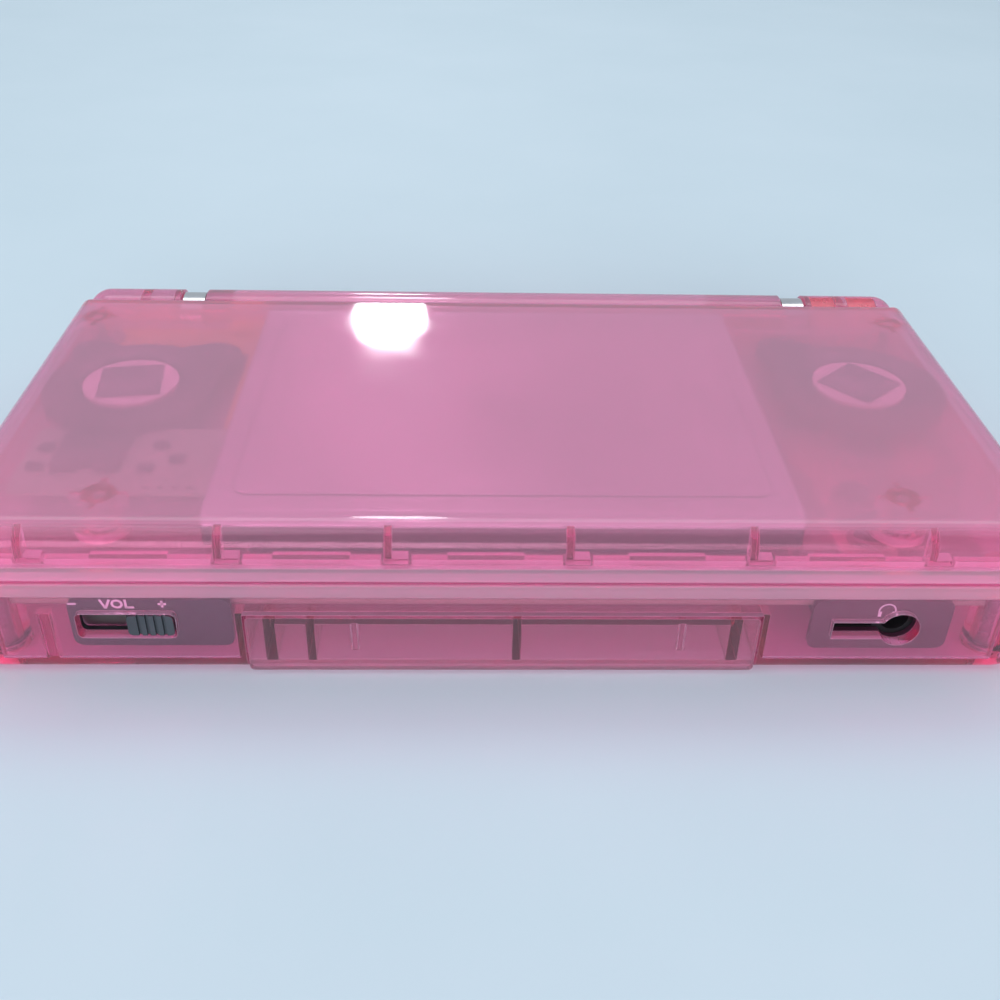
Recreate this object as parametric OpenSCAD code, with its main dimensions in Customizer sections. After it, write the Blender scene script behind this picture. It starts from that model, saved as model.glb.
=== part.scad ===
// Clamshell handheld game console, closed, in clear pink shells.
// +X is the player's right, +Y runs from the front edge to the hinge, +Z is up.
// The origin is at the middle of the base's underside, on the surface it rests on.

/* [Body] */
// Overall width
body_w = 133; // [132.5:0.5:138]
// Overall depth, from the slot cover's face to the back of the hinge
body_d = 73.9; // [73.9:0.1:77]
// Radius of the outer corners, seen from above
corner_r = 5.5; // [4.5:0.5:6.5]
// Rounding of the lid's top edges
lid_edge_r = 3.4; // [2:0.1:3.6]
// Rounding of the base's bottom edges
base_edge_r = 2; // [1.6:0.1:2.2]
// How far the rubber feet stand below the base
foot_h = 0.4; // [0.3:0.1:0.8]

/* [Shells] */
// Wall of the lid's outer cover
cover_t = 1.3; // [1:0.1:1.5]
// Side walls of the bottom case
base_wall = 1.5; // [1.2:0.1:1.6]
// Floor of the bottom case
floor_t = 1.2; // [1:0.1:1.6]
// Plate that the buttons come through
face_t = 1; // [0.9:0.1:1.4]
// How far that plate lies below the base's rim
face_recess = 0.8; // [0.6:0.1:1.2]
// Plate around the upper screen
bezel_t = 1; // [0.9:0.1:1.4]
// How far that plate lies inside the lid's rim
bezel_recess = 0.7; // [0.6:0.1:1.2]
// Height of the bezel's outer band
bezel_band_h = 2.1; // [1.9:0.1:2.6]
// Width of the raised rim on both halves
rim_w = 2; // [1.8:0.1:2.4]
// Gap between the closed halves
lid_gap = 0.3; // [0.2:0.05:0.5]
// Gap between parts that only lie against each other
seat_gap = 0.1; // [0.05:0.01:0.12]
// Seam between two shells that are screwed together
seam_gap = 0.05; // [0.03:0.01:0.08]
// Gap beside parts that move
move_gap = 0.3; // [0.25:0.05:0.4]

/* [Hinge] */
// Radius of the hinge barrel and knuckles
hinge_r = 4.9; // [4.6:0.1:5]
// Height of the hinge axis above the base's rim
hinge_rise = 1.4; // [1.2:0.1:1.6]
// Length of each knuckle on the base
knuckle_len = 15.4; // [14.4:0.1:16]
// Rounding of each knuckle's outer end
knuckle_end_r = 3.6; // [2:0.1:4]
// Wall of the hollow knuckles
knuckle_wall = 1.3; // [1:0.1:1.5]
// Space between a knuckle and the lid's barrel, where the metal shows
barrel_gap = 4.1; // [3:0.1:4.5]
// Radius of the hollow pin in the left knuckle
pin_r = 2.6; // [2.4:0.1:2.8]
// Radius of the friction clutch in the lid's barrel
clutch_r = 3; // [2.8:0.1:3.4]
// Radius of the clutch's shaft in the right knuckle
shaft_r = 2; // [1.6:0.1:2.2]
// Radial clearance where a hinge part turns
run_gap = 0.05; // [0.03:0.01:0.08]

/* [Screens] */
// Room on each side of the displays, for the speakers and the controls
display_side = 30.5; // [29:0.25:31.5]
// Strip between the lid's front wall and the upper display, where the hooks are
hook_strip = 4; // [4:0.1:6.5]
// Thickness of the upper display module
upper_display_t = 3.6; // [3.2:0.1:4]
// Free height between the upper display and the cover
upper_display_air = 0.6; // [0.5:0.1:1]
// Strip between the front wall and the lower display
lower_display_strip = 2.2; // [2.2:0.1:4]
// Thickness of the lower display module
lower_display_t = 1.2; // [1.2:0.1:2]
// Thickness of the touch panel
touch_t = 0.8; // [0.7:0.1:1]
// Dark border left and right of the picture on each screen
window_side = 4.7; // [4.6:0.05:6]
// Dark border in front of the picture and behind it
window_end = 3; // [2.8:0.1:4]

/* [Speakers] */
// Radius of a speaker's basket
speaker_r = 10; // [9:0.5:10]
// Radius of a speaker's back ring
speaker_ring_r = 6.65; // [6:0.05:7]
// Side of the square magnet on the ring
speaker_magnet = 8.6; // [7:0.1:8.8]
// Free room left and right of the black gasket round a speaker
gasket_room = 3; // [2.4:0.1:3.8]

/* [Controls] */
// Length of the direction pad across two arms
dpad_span = 19.4; // [18:0.2:20.4]
// Width of one arm of the pad
dpad_arm = 6.3; // [5.5:0.1:7]
// How far the pad rocks to each side, in degrees
dpad_tilt = 2.5; // [1.5:0.5:2.5]
// Radius of the four action buttons
button_r = 3.3; // [3:0.1:3.5]
// Distance of each action button from the middle of the four
button_pitch = 6.9; // [6.7:0.1:7.3]
// How far an action button goes down
button_travel = 0.8; // [0.5:0.1:0.8]
// How far the action buttons and the pad stand above the plate
button_rise = 1.1; // [0.9:0.1:1.2]
// Radius of the start and select buttons
small_button_r = 2; // [1.8:0.1:2.4]
// How far the start and select buttons go down
small_button_travel = 0.5; // [0.3:0.1:0.5]
// Height of the shoulder triggers
trigger_h = 5; // [4:0.1:5]
// How far a shoulder trigger turns, in degrees
trigger_turn = 3.5; // [2.5:0.5:3.5]
// Travel of the power slider
power_travel = 2.5; // [2:0.1:3]
// Length of the volume slot
volume_slot_w = 11.8; // [10:0.1:12.4]
// Length of the volume knob
volume_knob_w = 5.5; // [4.5:0.1:6]

/* [Slots] */
// Width of the front slot's cover
slot_cover_w = 62; // [60:0.5:62]
// Inner height of the front slot
bay_h = 7.4; // [7.4:0.1:8]
// Depth of the connector at the end of the front slot
cartridge_connector_d = 5.75; // [5:0.25:8]
// Distance of the headphone socket from the front slot
jack_offset = 17; // [16.2:0.1:17.4]
// Inner width of the rear card slot
card_w = 34.2; // [33.6:0.1:34.4]
// Inner height of the rear card slot
card_h = 4.4; // [4.2:0.1:4.4]
// Depth of the rear card slot, from the back face
card_d = 34.5; // [33:0.5:34.5]
// Radius of the stylus
stylus_r = 2.3; // [2:0.1:2.3]
// Length of the stylus
stylus_len = 87; // [84:0.5:88]
// Radius of the headphone socket's bore
jack_r = 1.8; // [1.75:0.05:1.85]

/* [Inside] */
// Thickness of the main board
board_t = 0.8; // [0.8:0.1:1.2]
// Free room between the battery and the side wall
battery_side_room = 1.1; // [1.1:0.1:3]
// Free room between the battery and the trigger behind it
battery_rear_room = 3.65; // [3.6:0.05:8]
// Thickness of the battery
battery_t = 5.5; // [4.8:0.1:5.8]
// Outer radius of the screw bosses in the base
boss_r = 2.7; // [2.4:0.1:2.8]
// Radius of the screws' threads
screw_r = 0.8; // [0.7:0.05:0.9]

/* [Hidden] */
$fn = 48;
far = 400;

// Outline
cover_proud = 0.25;
half_w = body_w/2;
y_front = cover_proud - body_d/2;
y_rear = body_d/2;

// Heights in the base, from the ground up
floor_z = foot_h + floor_t;
bay_top = floor_z + bay_h;
board_z = bay_top + seat_gap;
board_top = board_z + board_t;
lower_display_z = board_top + seat_gap;
touch_z = lower_display_z + lower_display_t;
face_z = touch_z + touch_t + seat_gap;
panel_z = face_z + face_t;
base_top = panel_z + face_recess;

// Heights in the lid, from its rim up
lid_z = base_top + lid_gap;
bezel_z = lid_z + bezel_recess;
bezel_top = bezel_z + bezel_t;
lid_seam_z = lid_z + bezel_band_h;
upper_display_z = bezel_top + seat_gap;
cover_z = upper_display_z + upper_display_t + upper_display_air;
lid_top = cover_z + cover_t;

// Hinge line
hinge_y = y_rear - hinge_r;
hinge_z = base_top + hinge_rise;
trough_r = hinge_r + 0.35;
trough_wall = 1.1;
lid_rear_y = hinge_y - trough_r;
knuckle_x = half_w - knuckle_len;
barrel_x = knuckle_x - barrel_gap;
shelf_z = hinge_z - trough_r;
collar_r = hinge_r - 0.4;
left_bore_len = 4;
clutch_len = 11.9;
barrel_wall = 1.2;

// Stylus channel, in front of the hinge trough
channel_r = stylus_r + 0.15;
channel_wall = 0.75;
stylus_y = lid_rear_y - channel_r - channel_wall;
card_top = floor_z + card_h;
cage_t = 0.3;
stylus_z = card_top + cage_t + 0.2 + stylus_r;
stylus_x1 = half_w - 0.1;
stylus_x0 = stylus_x1 - stylus_len;

// Screens
display_w = body_w - 2*display_side;
upper_display_y1 = lid_rear_y - cover_t - 0.4;
upper_display_y0 = y_front + cover_t + hook_strip;
upper_window_y = (upper_display_y0 + upper_display_y1)/2;
lower_display_y1 = stylus_y - channel_r - channel_wall - 0.4;
lower_display_y0 = y_front + base_wall + lower_display_strip;
lower_window_y = (lower_display_y0 + lower_display_y1)/2;
window_w = display_w - 2*window_side;
window_d = lower_display_y1 - lower_display_y0 - 2*window_end;

// Controls on the face
dpad_x = 15 - half_w;
pad_y = 1;
action_x = half_w - 15;
start_at = [half_w - 20, pad_y - 18.5];
select_at = [half_w - 20, pad_y - 26];
flange_t = 0.6;
dpad_flange_r = dpad_span/2 + 0.5;
dpad_flange_t = 0.3;
// Room above the pad's flange when it leans both ways at once
dpad_drop = dpad_flange_r*sin(dpad_tilt*sqrt(2)) + 0.1;
dpad_flange_top = face_z - dpad_drop;
dpad_z = dpad_flange_top - dpad_flange_t;
pivot_r = 0.55;
pivot_reach = 1.9;
membrane_t = 0.4;
membrane_top = board_top + membrane_t;

// Triggers in the rear corners
trigger_z = floor_z + 2;
trigger_wall = 1.6;
trigger_pin_r = 0.75;
trigger_barrel_r = 1.9;
trigger_pin_x = half_w - 17.6;
trigger_pin_y = y_rear - 0.35 - trigger_barrel_r;
trigger_inner_x = trigger_pin_x - 1.5;
trigger_front_y = y_rear - 8.3;
trigger_reach = (half_w - trigger_pin_x)*sin(trigger_turn);
trigger_switch_x = trigger_pin_x + 11;

// The line of a trigger's spring: two turns round the pin, with straight legs
spring_coil_r = 1.35;
spring_wire_r = 0.2;
spring_pitch = 0.86;
spring_turns = 2;
spring_rings = 8;
spring_route = concat(
  [[spring_coil_r, -3.2, 0]],
  [for (i = [0 : spring_turns*spring_rings])
    [spring_coil_r*cos(i*360/spring_rings), spring_coil_r*sin(i*360/spring_rings),
     i*spring_pitch/spring_rings]],
  [[spring_coil_r, 2.2, spring_turns*spring_pitch]]
);
echo("least gap between the trigger spring's turns", spring_pitch - 2*spring_wire_r);

// Slots in the front wall
bay_x = slot_cover_w/2 + move_gap;
bay_wall = 1;
card_connector_d = 5.7;
cage_y0 = y_rear - card_d - card_connector_d;
cartridge_connector_y1 = cage_y0 - 0.3;
cartridge_connector_y0 = cartridge_connector_y1 - cartridge_connector_d;
slot_cover_d = cartridge_connector_y0 - 0.4 - y_front;
slot_cover_z0 = foot_h + 0.5;
slot_cover_z1 = bay_top + 0.1;
volume_x1 = -bay_x - 7.9;
volume_x0 = volume_x1 - volume_slot_w;
volume_z0 = floor_z + 4.2;
volume_slot_h = 3.6;
volume_travel = volume_slot_w - volume_knob_w - 2*move_gap;
jack_x = bay_x + jack_offset;
jack_z = floor_z + 5.6;
plate_t = 0.7;
plate_y = y_front + base_wall + seat_gap;

// Battery bay, beside the front slot
battery_x1 = -bay_x - bay_wall - 2;
battery_x0 = base_wall + battery_side_room - half_w;
battery_y0 = y_front + 12.7;
battery_y1 = trigger_front_y - battery_rear_room;
battery_cover_t = floor_t - seat_gap;

// Screws: front pair under the corners, rear pair beside the card slot
front_screw = [half_w - 5, y_front + 5.2];
rear_screw = [24, hinge_y - 1.6];
lid_front_boss = [half_w - 18.1, y_front + 8.6];
lid_rear_boss = [half_w - 5, lid_rear_y - 6];
screw_head_r = 1.7;

// Speakers and the flexible boards beside the upper display
gasket_r = display_side/2 - gasket_room;
left_speaker_at = [gasket_r + 1.7 - half_w, lid_rear_y - gasket_r - 11.2];
right_speaker_at = [half_w - gasket_r - 1.6, lid_rear_y - gasket_r - 10];
gasket_z = bezel_top + 0.7;
gasket_t = 1.4;
pin_dot_r = 0.5;
// Lobes and contact pins, from each speaker's middle: place and radius
left_lobes = [[-8.2, 10.6, 3], [10, 8.8, 4.2]];
left_pins = [[-9.7, 12.1], [-6.8, 13.4], [9, 9.5], [12.2, 10.2]];
right_lobes = [[-8.8, 11.6, 3.6]];
right_pins = [[-10.6, 13.3], [-7.7, 14.8]];
hook_w = 0.9;
hook_foot_w = 2.8;
hook_xs = [-56, -33.3, -13.7, 7.5, 29, 50.2];
rail_w = 9;

shell = [0.92, 0.45, 0.66, 0.75];
dark = [0.16, 0.17, 0.18];
steel = [0.75, 0.76, 0.78];

// A rectangle from edge to edge, with rounded top and bottom corners
module edge_section(a0, a1, z0, z1, rt, rb) {
  translate([a0, z0 + rb]) square([a1 - a0, z1 - z0 - rt - rb]);
  if (rt > 0) {
    translate([a0 + rt, z1 - rt - 0.001]) square([a1 - a0 - 2*rt, rt + 0.001]);
    for (a = [a0 + rt, a1 - rt]) translate([a, z1 - rt]) circle(rt);
  }
  if (rb > 0) {
    translate([a0 + rb, z0]) square([a1 - a0 - 2*rb, rb + 0.001]);
    for (a = [a0 + rb, a1 - rb]) translate([a, z0 + rb]) circle(rb);
  }
}

// A smooth block: corner radius rc from above, top edges rt, bottom edges rb
module pebble(x0, x1, y0, y1, z0, z1, rc, rt = 0, rb = 0) {
  translate([0, y1 - rc, 0]) rotate([90, 0, 0])
    linear_extrude(y1 - y0 - 2*rc) edge_section(x0, x1, z0, z1, rt, rb);
  translate([x0 + rc, 0, 0]) rotate([90, 0, 90])
    linear_extrude(x1 - x0 - 2*rc) edge_section(y0, y1, z0, z1, rt, rb);
  for (x = [x0 + rc, x1 - rc], y = [y0 + rc, y1 - rc]) translate([x, y, 0])
    rotate_extrude() intersection() {
      edge_section(-rc, rc, z0, z1, rt, rb);
      translate([0, z0 - 1]) square([rc + 1, z1 - z0 + 2]);
    }
}

// A box given by its lowest and highest corners
module span(a, b) translate(a) cube(b - a);

// A cylinder along X about the line through [y, z]
module rod_x(x0, x1, r, y = hinge_y, z = hinge_z)
  translate([x0, y, z]) rotate([0, 90, 0]) cylinder(r = r, h = x1 - x0);

// A cylinder along Y about the line through [x, z]
module rod_y(y0, y1, r, x, z)
  translate([x, y1, z]) rotate([90, 0, 0]) cylinder(r = r, h = y1 - y0);

// A cylinder along Z
module rod_z(at, z0, z1, r)
  translate([at[0], at[1], z0]) cylinder(r = r, h = z1 - z0);

// A flat plate with rounded corners
module plate(a, b, r) {
  translate([a[0] + r, a[1], a[2]]) cube([b[0] - a[0] - 2*r, b[1] - a[1], b[2] - a[2]]);
  translate([a[0], a[1] + r, a[2]]) cube([b[0] - a[0], b[1] - a[1] - 2*r, b[2] - a[2]]);
  for (x = [a[0] + r, b[0] - r], y = [a[1] + r, b[1] - r]) rod_z([x, y], a[2], b[2], r);
}

// The lid's outline drawn in by a wall: round in front, square at the hinge
module lid_block(inset, z0, z1, rt = 0, rb = 0) difference() {
  pebble(inset - half_w, half_w - inset, y_front + inset, lid_rear_y + 3*corner_r,
         z0, z1, corner_r - inset, rt, rb);
  span([-far, lid_rear_y - inset, z0 - rt - 1], [far, lid_rear_y + far, z1 + 1]);
  // A rounding larger than half the height would reach below the block
  if (2*rt > z1 - z0) span([-far, -far, z0 - rt - 1], [far, far, z0]);
}

// Rounds the lid's upper rear edge
module lid_rear_edge(r) difference() {
  span([-far, lid_rear_y - r, lid_top - r], [far, lid_rear_y + 1, lid_top + 1]);
  rod_x(-far - 1, far + 1, r, lid_rear_y - r, lid_top - r);
}

// Lid

module lid_cover() color(shell) {
  neck_top = hinge_z + 3.6;
  inner_r = hinge_r - barrel_wall;
  difference() {
    union() {
      difference() {
        lid_block(0, lid_seam_z + seam_gap, lid_top, lid_edge_r);
        lid_block(cover_t, lid_seam_z - 1, cover_z, lid_edge_r - 1);
        lid_rear_edge(1.2);
      }
      rod_x(-barrel_x, barrel_x, hinge_r);
      span([-barrel_x, lid_rear_y, lid_z], [barrel_x, hinge_y, neck_top]);
      intersection() {
        for (x = hook_xs) snap_hook(x);
        lid_block(cover_t - 0.2, lid_seam_z, cover_z + 0.2, lid_edge_r - 1);
      }
      for (at = lid_boss_places()) rod_z(at, lid_boss_z(), cover_z + 0.2, 2.1);
      for (at = lid_boss_places(), a = [0, 90]) translate([at[0], at[1], cover_z - 1.6])
        rotate([0, 0, a]) translate([-3.4, -0.35, 0]) cube([6.8, 0.7, 1.8]);
    }
    difference() {
      rod_x(left_bore_len - barrel_x, barrel_x - clutch_len, inner_r);
      span([-3, hinge_y - 2.6, hinge_z - inner_r - 1], [3, hinge_y + 2.6, hinge_z - 2.9]);
    }
    rod_x(-barrel_x - 1, left_bore_len - barrel_x + 1, pin_r + run_gap);
    rod_x(barrel_x - clutch_len - 1, barrel_x + 1, clutch_r + 0.02);
    rod_z([0, hinge_y], hinge_z - hinge_r - 1, hinge_z - 2, 0.6);
    span([ribbon_x0() - 0.3, lid_rear_y - 3, ribbon_z() - 0.4],
         [ribbon_x1() + 0.3, hinge_y - 1.5, ribbon_z() + 0.8]);
    for (at = lid_boss_places()) rod_z(at, lid_boss_z() - 1, cover_z - 0.6, screw_r);
  }
}

// One of the hooks inside the lid's front wall: a post with a foot to its right
module snap_hook(x) {
  wall_y = y_front + cover_t;
  foot_z = lid_seam_z + 0.25;
  span([x - hook_w/2, wall_y - 0.2, foot_z], [x + hook_w/2, wall_y + 1.7, cover_z + 0.2]);
  span([x - hook_w/2, wall_y - 0.2, foot_z],
       [x - hook_w/2 + hook_foot_w, wall_y + 1.3, foot_z + 0.7]);
}

function lid_boss_places() = [
  for (sx = [-1, 1]) [sx*lid_front_boss[0], lid_front_boss[1]],
  for (sx = [-1, 1]) [sx*lid_rear_boss[0], lid_rear_boss[1]]
];
function lid_cup_z() = bezel_top + 1.1;
function lid_boss_z() = lid_cup_z() + seat_gap;

module lid_bezel() color(shell) {
  lip_out = cover_t + seat_gap;
  lip_z = lid_seam_z + 0.8;
  window_y = upper_window_y;
  difference() {
    union() {
      difference() {
        lid_block(0, lid_z, lid_seam_z, 0, 0.4);
        lid_block(rim_w, lid_z - 1, bezel_z);
        lid_block(cover_t, bezel_top, lid_seam_z + 1);
      }
      difference() {
        lid_block(lip_out, bezel_top - 0.1, lip_z);
        lid_block(lip_out + 0.8, bezel_top - 1, lip_z + 1);
        for (x = hook_xs) span([x - hook_w/2 - 0.4, y_front, lid_seam_z],
                               [x - hook_w/2 + hook_foot_w + 0.4, y_front + 6, lip_z + 1]);
        span([ribbon_x0() - 0.6, lid_rear_y - 6, bezel_top], [display_w/2 + 0.4, far, far]);
        // The lip gives way to the speakers' gaskets
        for (at = [left_speaker_at, right_speaker_at]) rod_z(at, lid_seam_z, lip_z + 1, gasket_r + 0.2);
      }
      rim_rails();
      for (at = lid_boss_places()) rod_z(at, bezel_top - 0.5, lid_cup_z(), 3.3);
    }
    // The screen's window, and the wider seat of its clear lens behind it
    plate([-window_w/2, window_y - window_d/2, bezel_z - 1],
          [window_w/2, window_y + window_d/2, bezel_top + 1], 0.8);
    plate([-window_w/2 - 1.2, window_y - window_d/2 - 1.2, bezel_z + bezel_t/2],
          [window_w/2 + 1.2, window_y + window_d/2 + 1.2, bezel_top + 1], 1.2);
    for (s = [left_speaker_at, right_speaker_at], ix = [-1, 1], iy = [-1, 0, 1])
      rod_z([s[0] + ix*2.2, s[1] + iy*4.2], bezel_z - 1, bezel_top + 1, 0.65);
    for (at = lid_boss_places()) {
      rod_z(at, bezel_z - 1, lid_cup_z() - 0.6, 2.55);
      rod_z(at, bezel_z - 1, lid_cup_z() + 1, screw_r + 0.2);
    }
  }
}

// Short ledges on the front lip, one between each pair of hooks
module rim_rails() {
  rail_y = y_front + cover_t + seat_gap;
  for (i = [0 : len(hook_xs) - 2]) {
    mid = (hook_xs[i] + hook_xs[i + 1])/2 + 0.8;
    span([mid - rail_w/2, rail_y + 0.2, bezel_top - 0.1],
         [mid + rail_w/2, rail_y + 1.6, lid_seam_z + 0.5]);
  }
}

module display_lens() color([0.75, 0.8, 0.85, 0.5]) {
  w = window_w/2 + 1.1;
  d = window_d/2 + 1.1;
  plate([-w, upper_window_y - d, bezel_z + bezel_t/2], [w, upper_window_y + d, bezel_top], 1.1);
}

module upper_display_frame() color(steel) {
  z = upper_display_z;
  t = upper_display_t;
  w = display_w/2;
  difference() {
    union() {
      difference() {
        plate([-w, upper_display_y0, z], [w, upper_display_y1, z + t - 0.15], 0.6);
        tray_front_edge(z + t - 0.15, 1.2);
      }
      plate([3 - w, upper_display_y0 + 4.2, z + t - 0.3], [w - 3, upper_display_y1 - 3, z + t], 2);
    }
    span([0.5 - w, upper_display_y0 + 0.5, z + 0.4], [w - 0.5, upper_display_y1 - 0.5, z + t - 0.85]);
    plate([-window_w/2, upper_window_y - window_d/2, z - 1],
          [window_w/2, upper_window_y + window_d/2, z + 1], 0.5);
    // Spring slots along the side walls
    for (sx = [-1, 1], i = [-1 : 1]) translate([sx*w, upper_window_y + i*16, z + t/2])
      cube([2, 5, 0.8], center = true);
  }
}

// Cuts the tray's front edge round, as its sheet is folded there
module tray_front_edge(z1, r) difference() {
  span([-far, upper_display_y0 - 1, z1 - r], [far, upper_display_y0 + r, z1 + 1]);
  rod_x(-far - 1, far + 1, r, upper_display_y0 + r, z1 - r);
}

module upper_display_panel() color([0.1, 0.1, 0.12]) {
  z = upper_display_z;
  w = display_w/2 - 0.6;
  span([-w, upper_display_y0 + 0.6, z + 0.45],
       [w, upper_display_y1 - 0.6, z + upper_display_t - 0.95]);
}

// A speaker seen from its back: basket, ring, turned square magnet and contact pins
module speaker(at, turn, pins) translate([at[0], at[1], bezel_top + 0.05]) {
  color(dark) cylinder(r = speaker_r, h = 0.6);
  color([0.8, 0.8, 0.8]) rotate_extrude()
    translate([0, 0.55]) square([speaker_ring_r, 1.7]);
  color([0.35, 0.33, 0.35]) rotate([0, 0, turn]) translate([0, 0, 2.2])
    linear_extrude(0.3) square(speaker_magnet, center = true);
  color(steel) for (p = pins) rod_z(p, 0, gasket_z + gasket_t + 0.2 - bezel_top, pin_dot_r);
}

module left_speaker() speaker(left_speaker_at, 8, left_pins);

module right_speaker() speaker(right_speaker_at, 42, right_pins);

// The rubber ring round a speaker, with lobes round the contact pins
module gasket(at, lobes, pins) color(dark) translate([at[0], at[1], gasket_z]) difference() {
  union() {
    cylinder(r = gasket_r, h = gasket_t);
    for (b = lobes) {
      rod_z([b[0], b[1]], 0, gasket_t, b[2]);
      rod_z([b[0]*0.8, b[1]*0.8], 0, gasket_t, b[2] + 1);
    }
  }
  translate([0, 0, -1]) cylinder(r = speaker_ring_r + 0.25, h = gasket_t + 2);
  translate([0, 0, gasket_t - 0.4]) cylinder(r = speaker_ring_r + 1.2, h = 1);
  for (p = pins) rod_z(p, -1, gasket_t + 1, pin_dot_r + 0.1);
}

module left_speaker_gasket() gasket(left_speaker_at, left_lobes, left_pins);

module right_speaker_gasket() gasket(right_speaker_at, right_lobes, right_pins);

function flex_z() = bezel_top + seat_gap;
function flex_x0() = 4.2 - half_w;
function flex_x1() = -display_w/2 - 0.5;
function flex_y1() = left_speaker_at[1] - speaker_r - 0.3;
function flex_y0() = flex_y1() - 15.6;

module upper_flex_board() color([0.35, 0.45, 0.35]) {
  z = flex_z();
  difference() {
    plate([flex_x0(), flex_y0(), z], [flex_x1(), flex_y1(), z + 0.5], 1);
    rod_z([-lid_front_boss[0], lid_front_boss[1]], z - 1, z + 2, 3.6);
    for (i = [0 : 3]) rod_z([flex_x1() - 3 - i*1.8, flex_y0() + 1.4], z - 1, z + 2, 0.5);
  }
}

module upper_flex_chips() color([0.2, 0.18, 0.2]) {
  z = flex_z() + 0.5;
  x = flex_x0();
  y = flex_y0();
  difference() {
    span([x + 4.4, y + 4.6, z], [x + 13, y + 13, z + 1]);
    span([x + 7.6, y + 3.6, z - 1], [x + 9.8, y + 5.8, z + 2]);
  }
  for (p = [[1.2, 5], [1.4, 9.6], [15.4, 4.8], [16.2, 10.4], [19, 7]])
    span([x + p[0], y + p[1], z], [x + p[0] + 2, y + p[1] + 1.2, z + 0.6]);
}

function ribbon_x0() = left_bore_len - barrel_x + 0.6;
function ribbon_x1() = -display_w/2 - 1.1;
function ribbon_hole(p) = [left_speaker_at[0] + p[0], left_speaker_at[1] + p[1]];
function ribbon_z() = lid_seam_z + 0.3;

// The flexible print: a broad patch, a strip beside the display, and its way to the hinge
module display_ribbon() color([0.75, 0.42, 0.2]) {
  z = flex_z();
  y0 = left_speaker_at[1] + speaker_r + 2.6;
  y1 = upper_display_y1 - 0.7;
  strip_x = flex_x1() - 1.5;
  difference() {
    plate([7 - half_w, y0, z], [flex_x1(), y1, z + 0.3], 1);
    rod_z([-lid_rear_boss[0], lid_rear_boss[1]], z - 1, z + 2, 3.6);
    for (p = left_pins) rod_z(ribbon_hole(p), z - 1, z + 2, pin_dot_r + 0.3);
  }
  span([strip_x, flex_y1() + 0.1, z], [flex_x1(), y0 + 1, z + 0.3]);
  span([ribbon_x0(), y1 - 1.5, z], [ribbon_x1(), y1, ribbon_z() + 0.3]);
  span([ribbon_x0(), y1 - 1.5, ribbon_z()], [ribbon_x1(), hinge_y, ribbon_z() + 0.3]);
  rod_x(4 - half_w + 3, ribbon_x1(), pin_r - 1.2);
}

module microphone() color(steel) {
  rod_z([0, hinge_y], hinge_z - 2.8, hinge_z - 1, 2);
  rod_z([0, hinge_y], hinge_z - 1.1, hinge_z - 0.8, 1.2);
}

// Spring clutch: its body is held in the barrel, its shaft turns in the right knuckle
module hinge_clutch() color(steel) {
  rod_x(barrel_x - clutch_len + 0.2, barrel_x + move_gap, clutch_r);
  rod_x(barrel_x + move_gap, knuckle_x - move_gap, collar_r);
  rod_x(knuckle_x - 0.4, knuckle_x + 6.5, shaft_r);
}

// A cross-head screw whose head is down, at z0
module screw(at, z0, len, head_h = 0.9) {
  difference() {
    rod_z(at, z0, z0 + head_h, screw_head_r);
    for (a = [0, 90]) translate([at[0], at[1], z0]) rotate([0, 0, a])
      cube([1.8, 0.4, head_h], center = true);
  }
  rod_z(at, z0 + head_h - 0.01, z0 + len, screw_r - 0.03);
}

module lid_screws() color(steel)
  for (at = lid_boss_places()) screw(at, lid_cup_z() - 1.6, 3.6);

module lid_screw_plugs() color([0.85, 0.5, 0.65])
  for (at = lid_boss_places()) rod_z(at, bezel_z - 0.2, lid_cup_z() - 1.7, 2.45);

// Base shells

// The shape that lies within the base's outline, between two heights
module base_column(inset, z0, z1, rt = 0, rb = 0)
  pebble(inset - half_w, half_w - inset, y_front + inset, y_rear - inset,
         z0, z1, corner_r - inset, rt, rb);

module bottom_case() color(shell) {
  difference() {
    union() {
      difference() {
        base_column(0, foot_h, face_z - seam_gap, 0, base_edge_r);
        base_column(base_wall, floor_z, face_z + 1, 0, base_edge_r - base_wall + 0.3);
      }
      hinge_shelf();
      base_ribs();
      stylus_channel();
      trigger_seats();
    }
    front_openings();
    rear_openings();
    floor_openings();
    side_openings();
  }
}

// The ledge that closes the base under the hinge barrel, with its two end walls
module hinge_shelf() {
  z0 = shelf_z - trough_wall;
  y0 = hinge_y + seat_gap;
  span([-knuckle_x, y0, z0], [knuckle_x, y_rear - base_wall + 0.1, shelf_z]);
  for (sx = [-1, 1]) translate([sx*(knuckle_x + 0.5), 0, 0])
    span([-0.5, y0, z0], [0.5, y_rear - base_wall + 0.1, face_z - seam_gap]);
}

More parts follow.
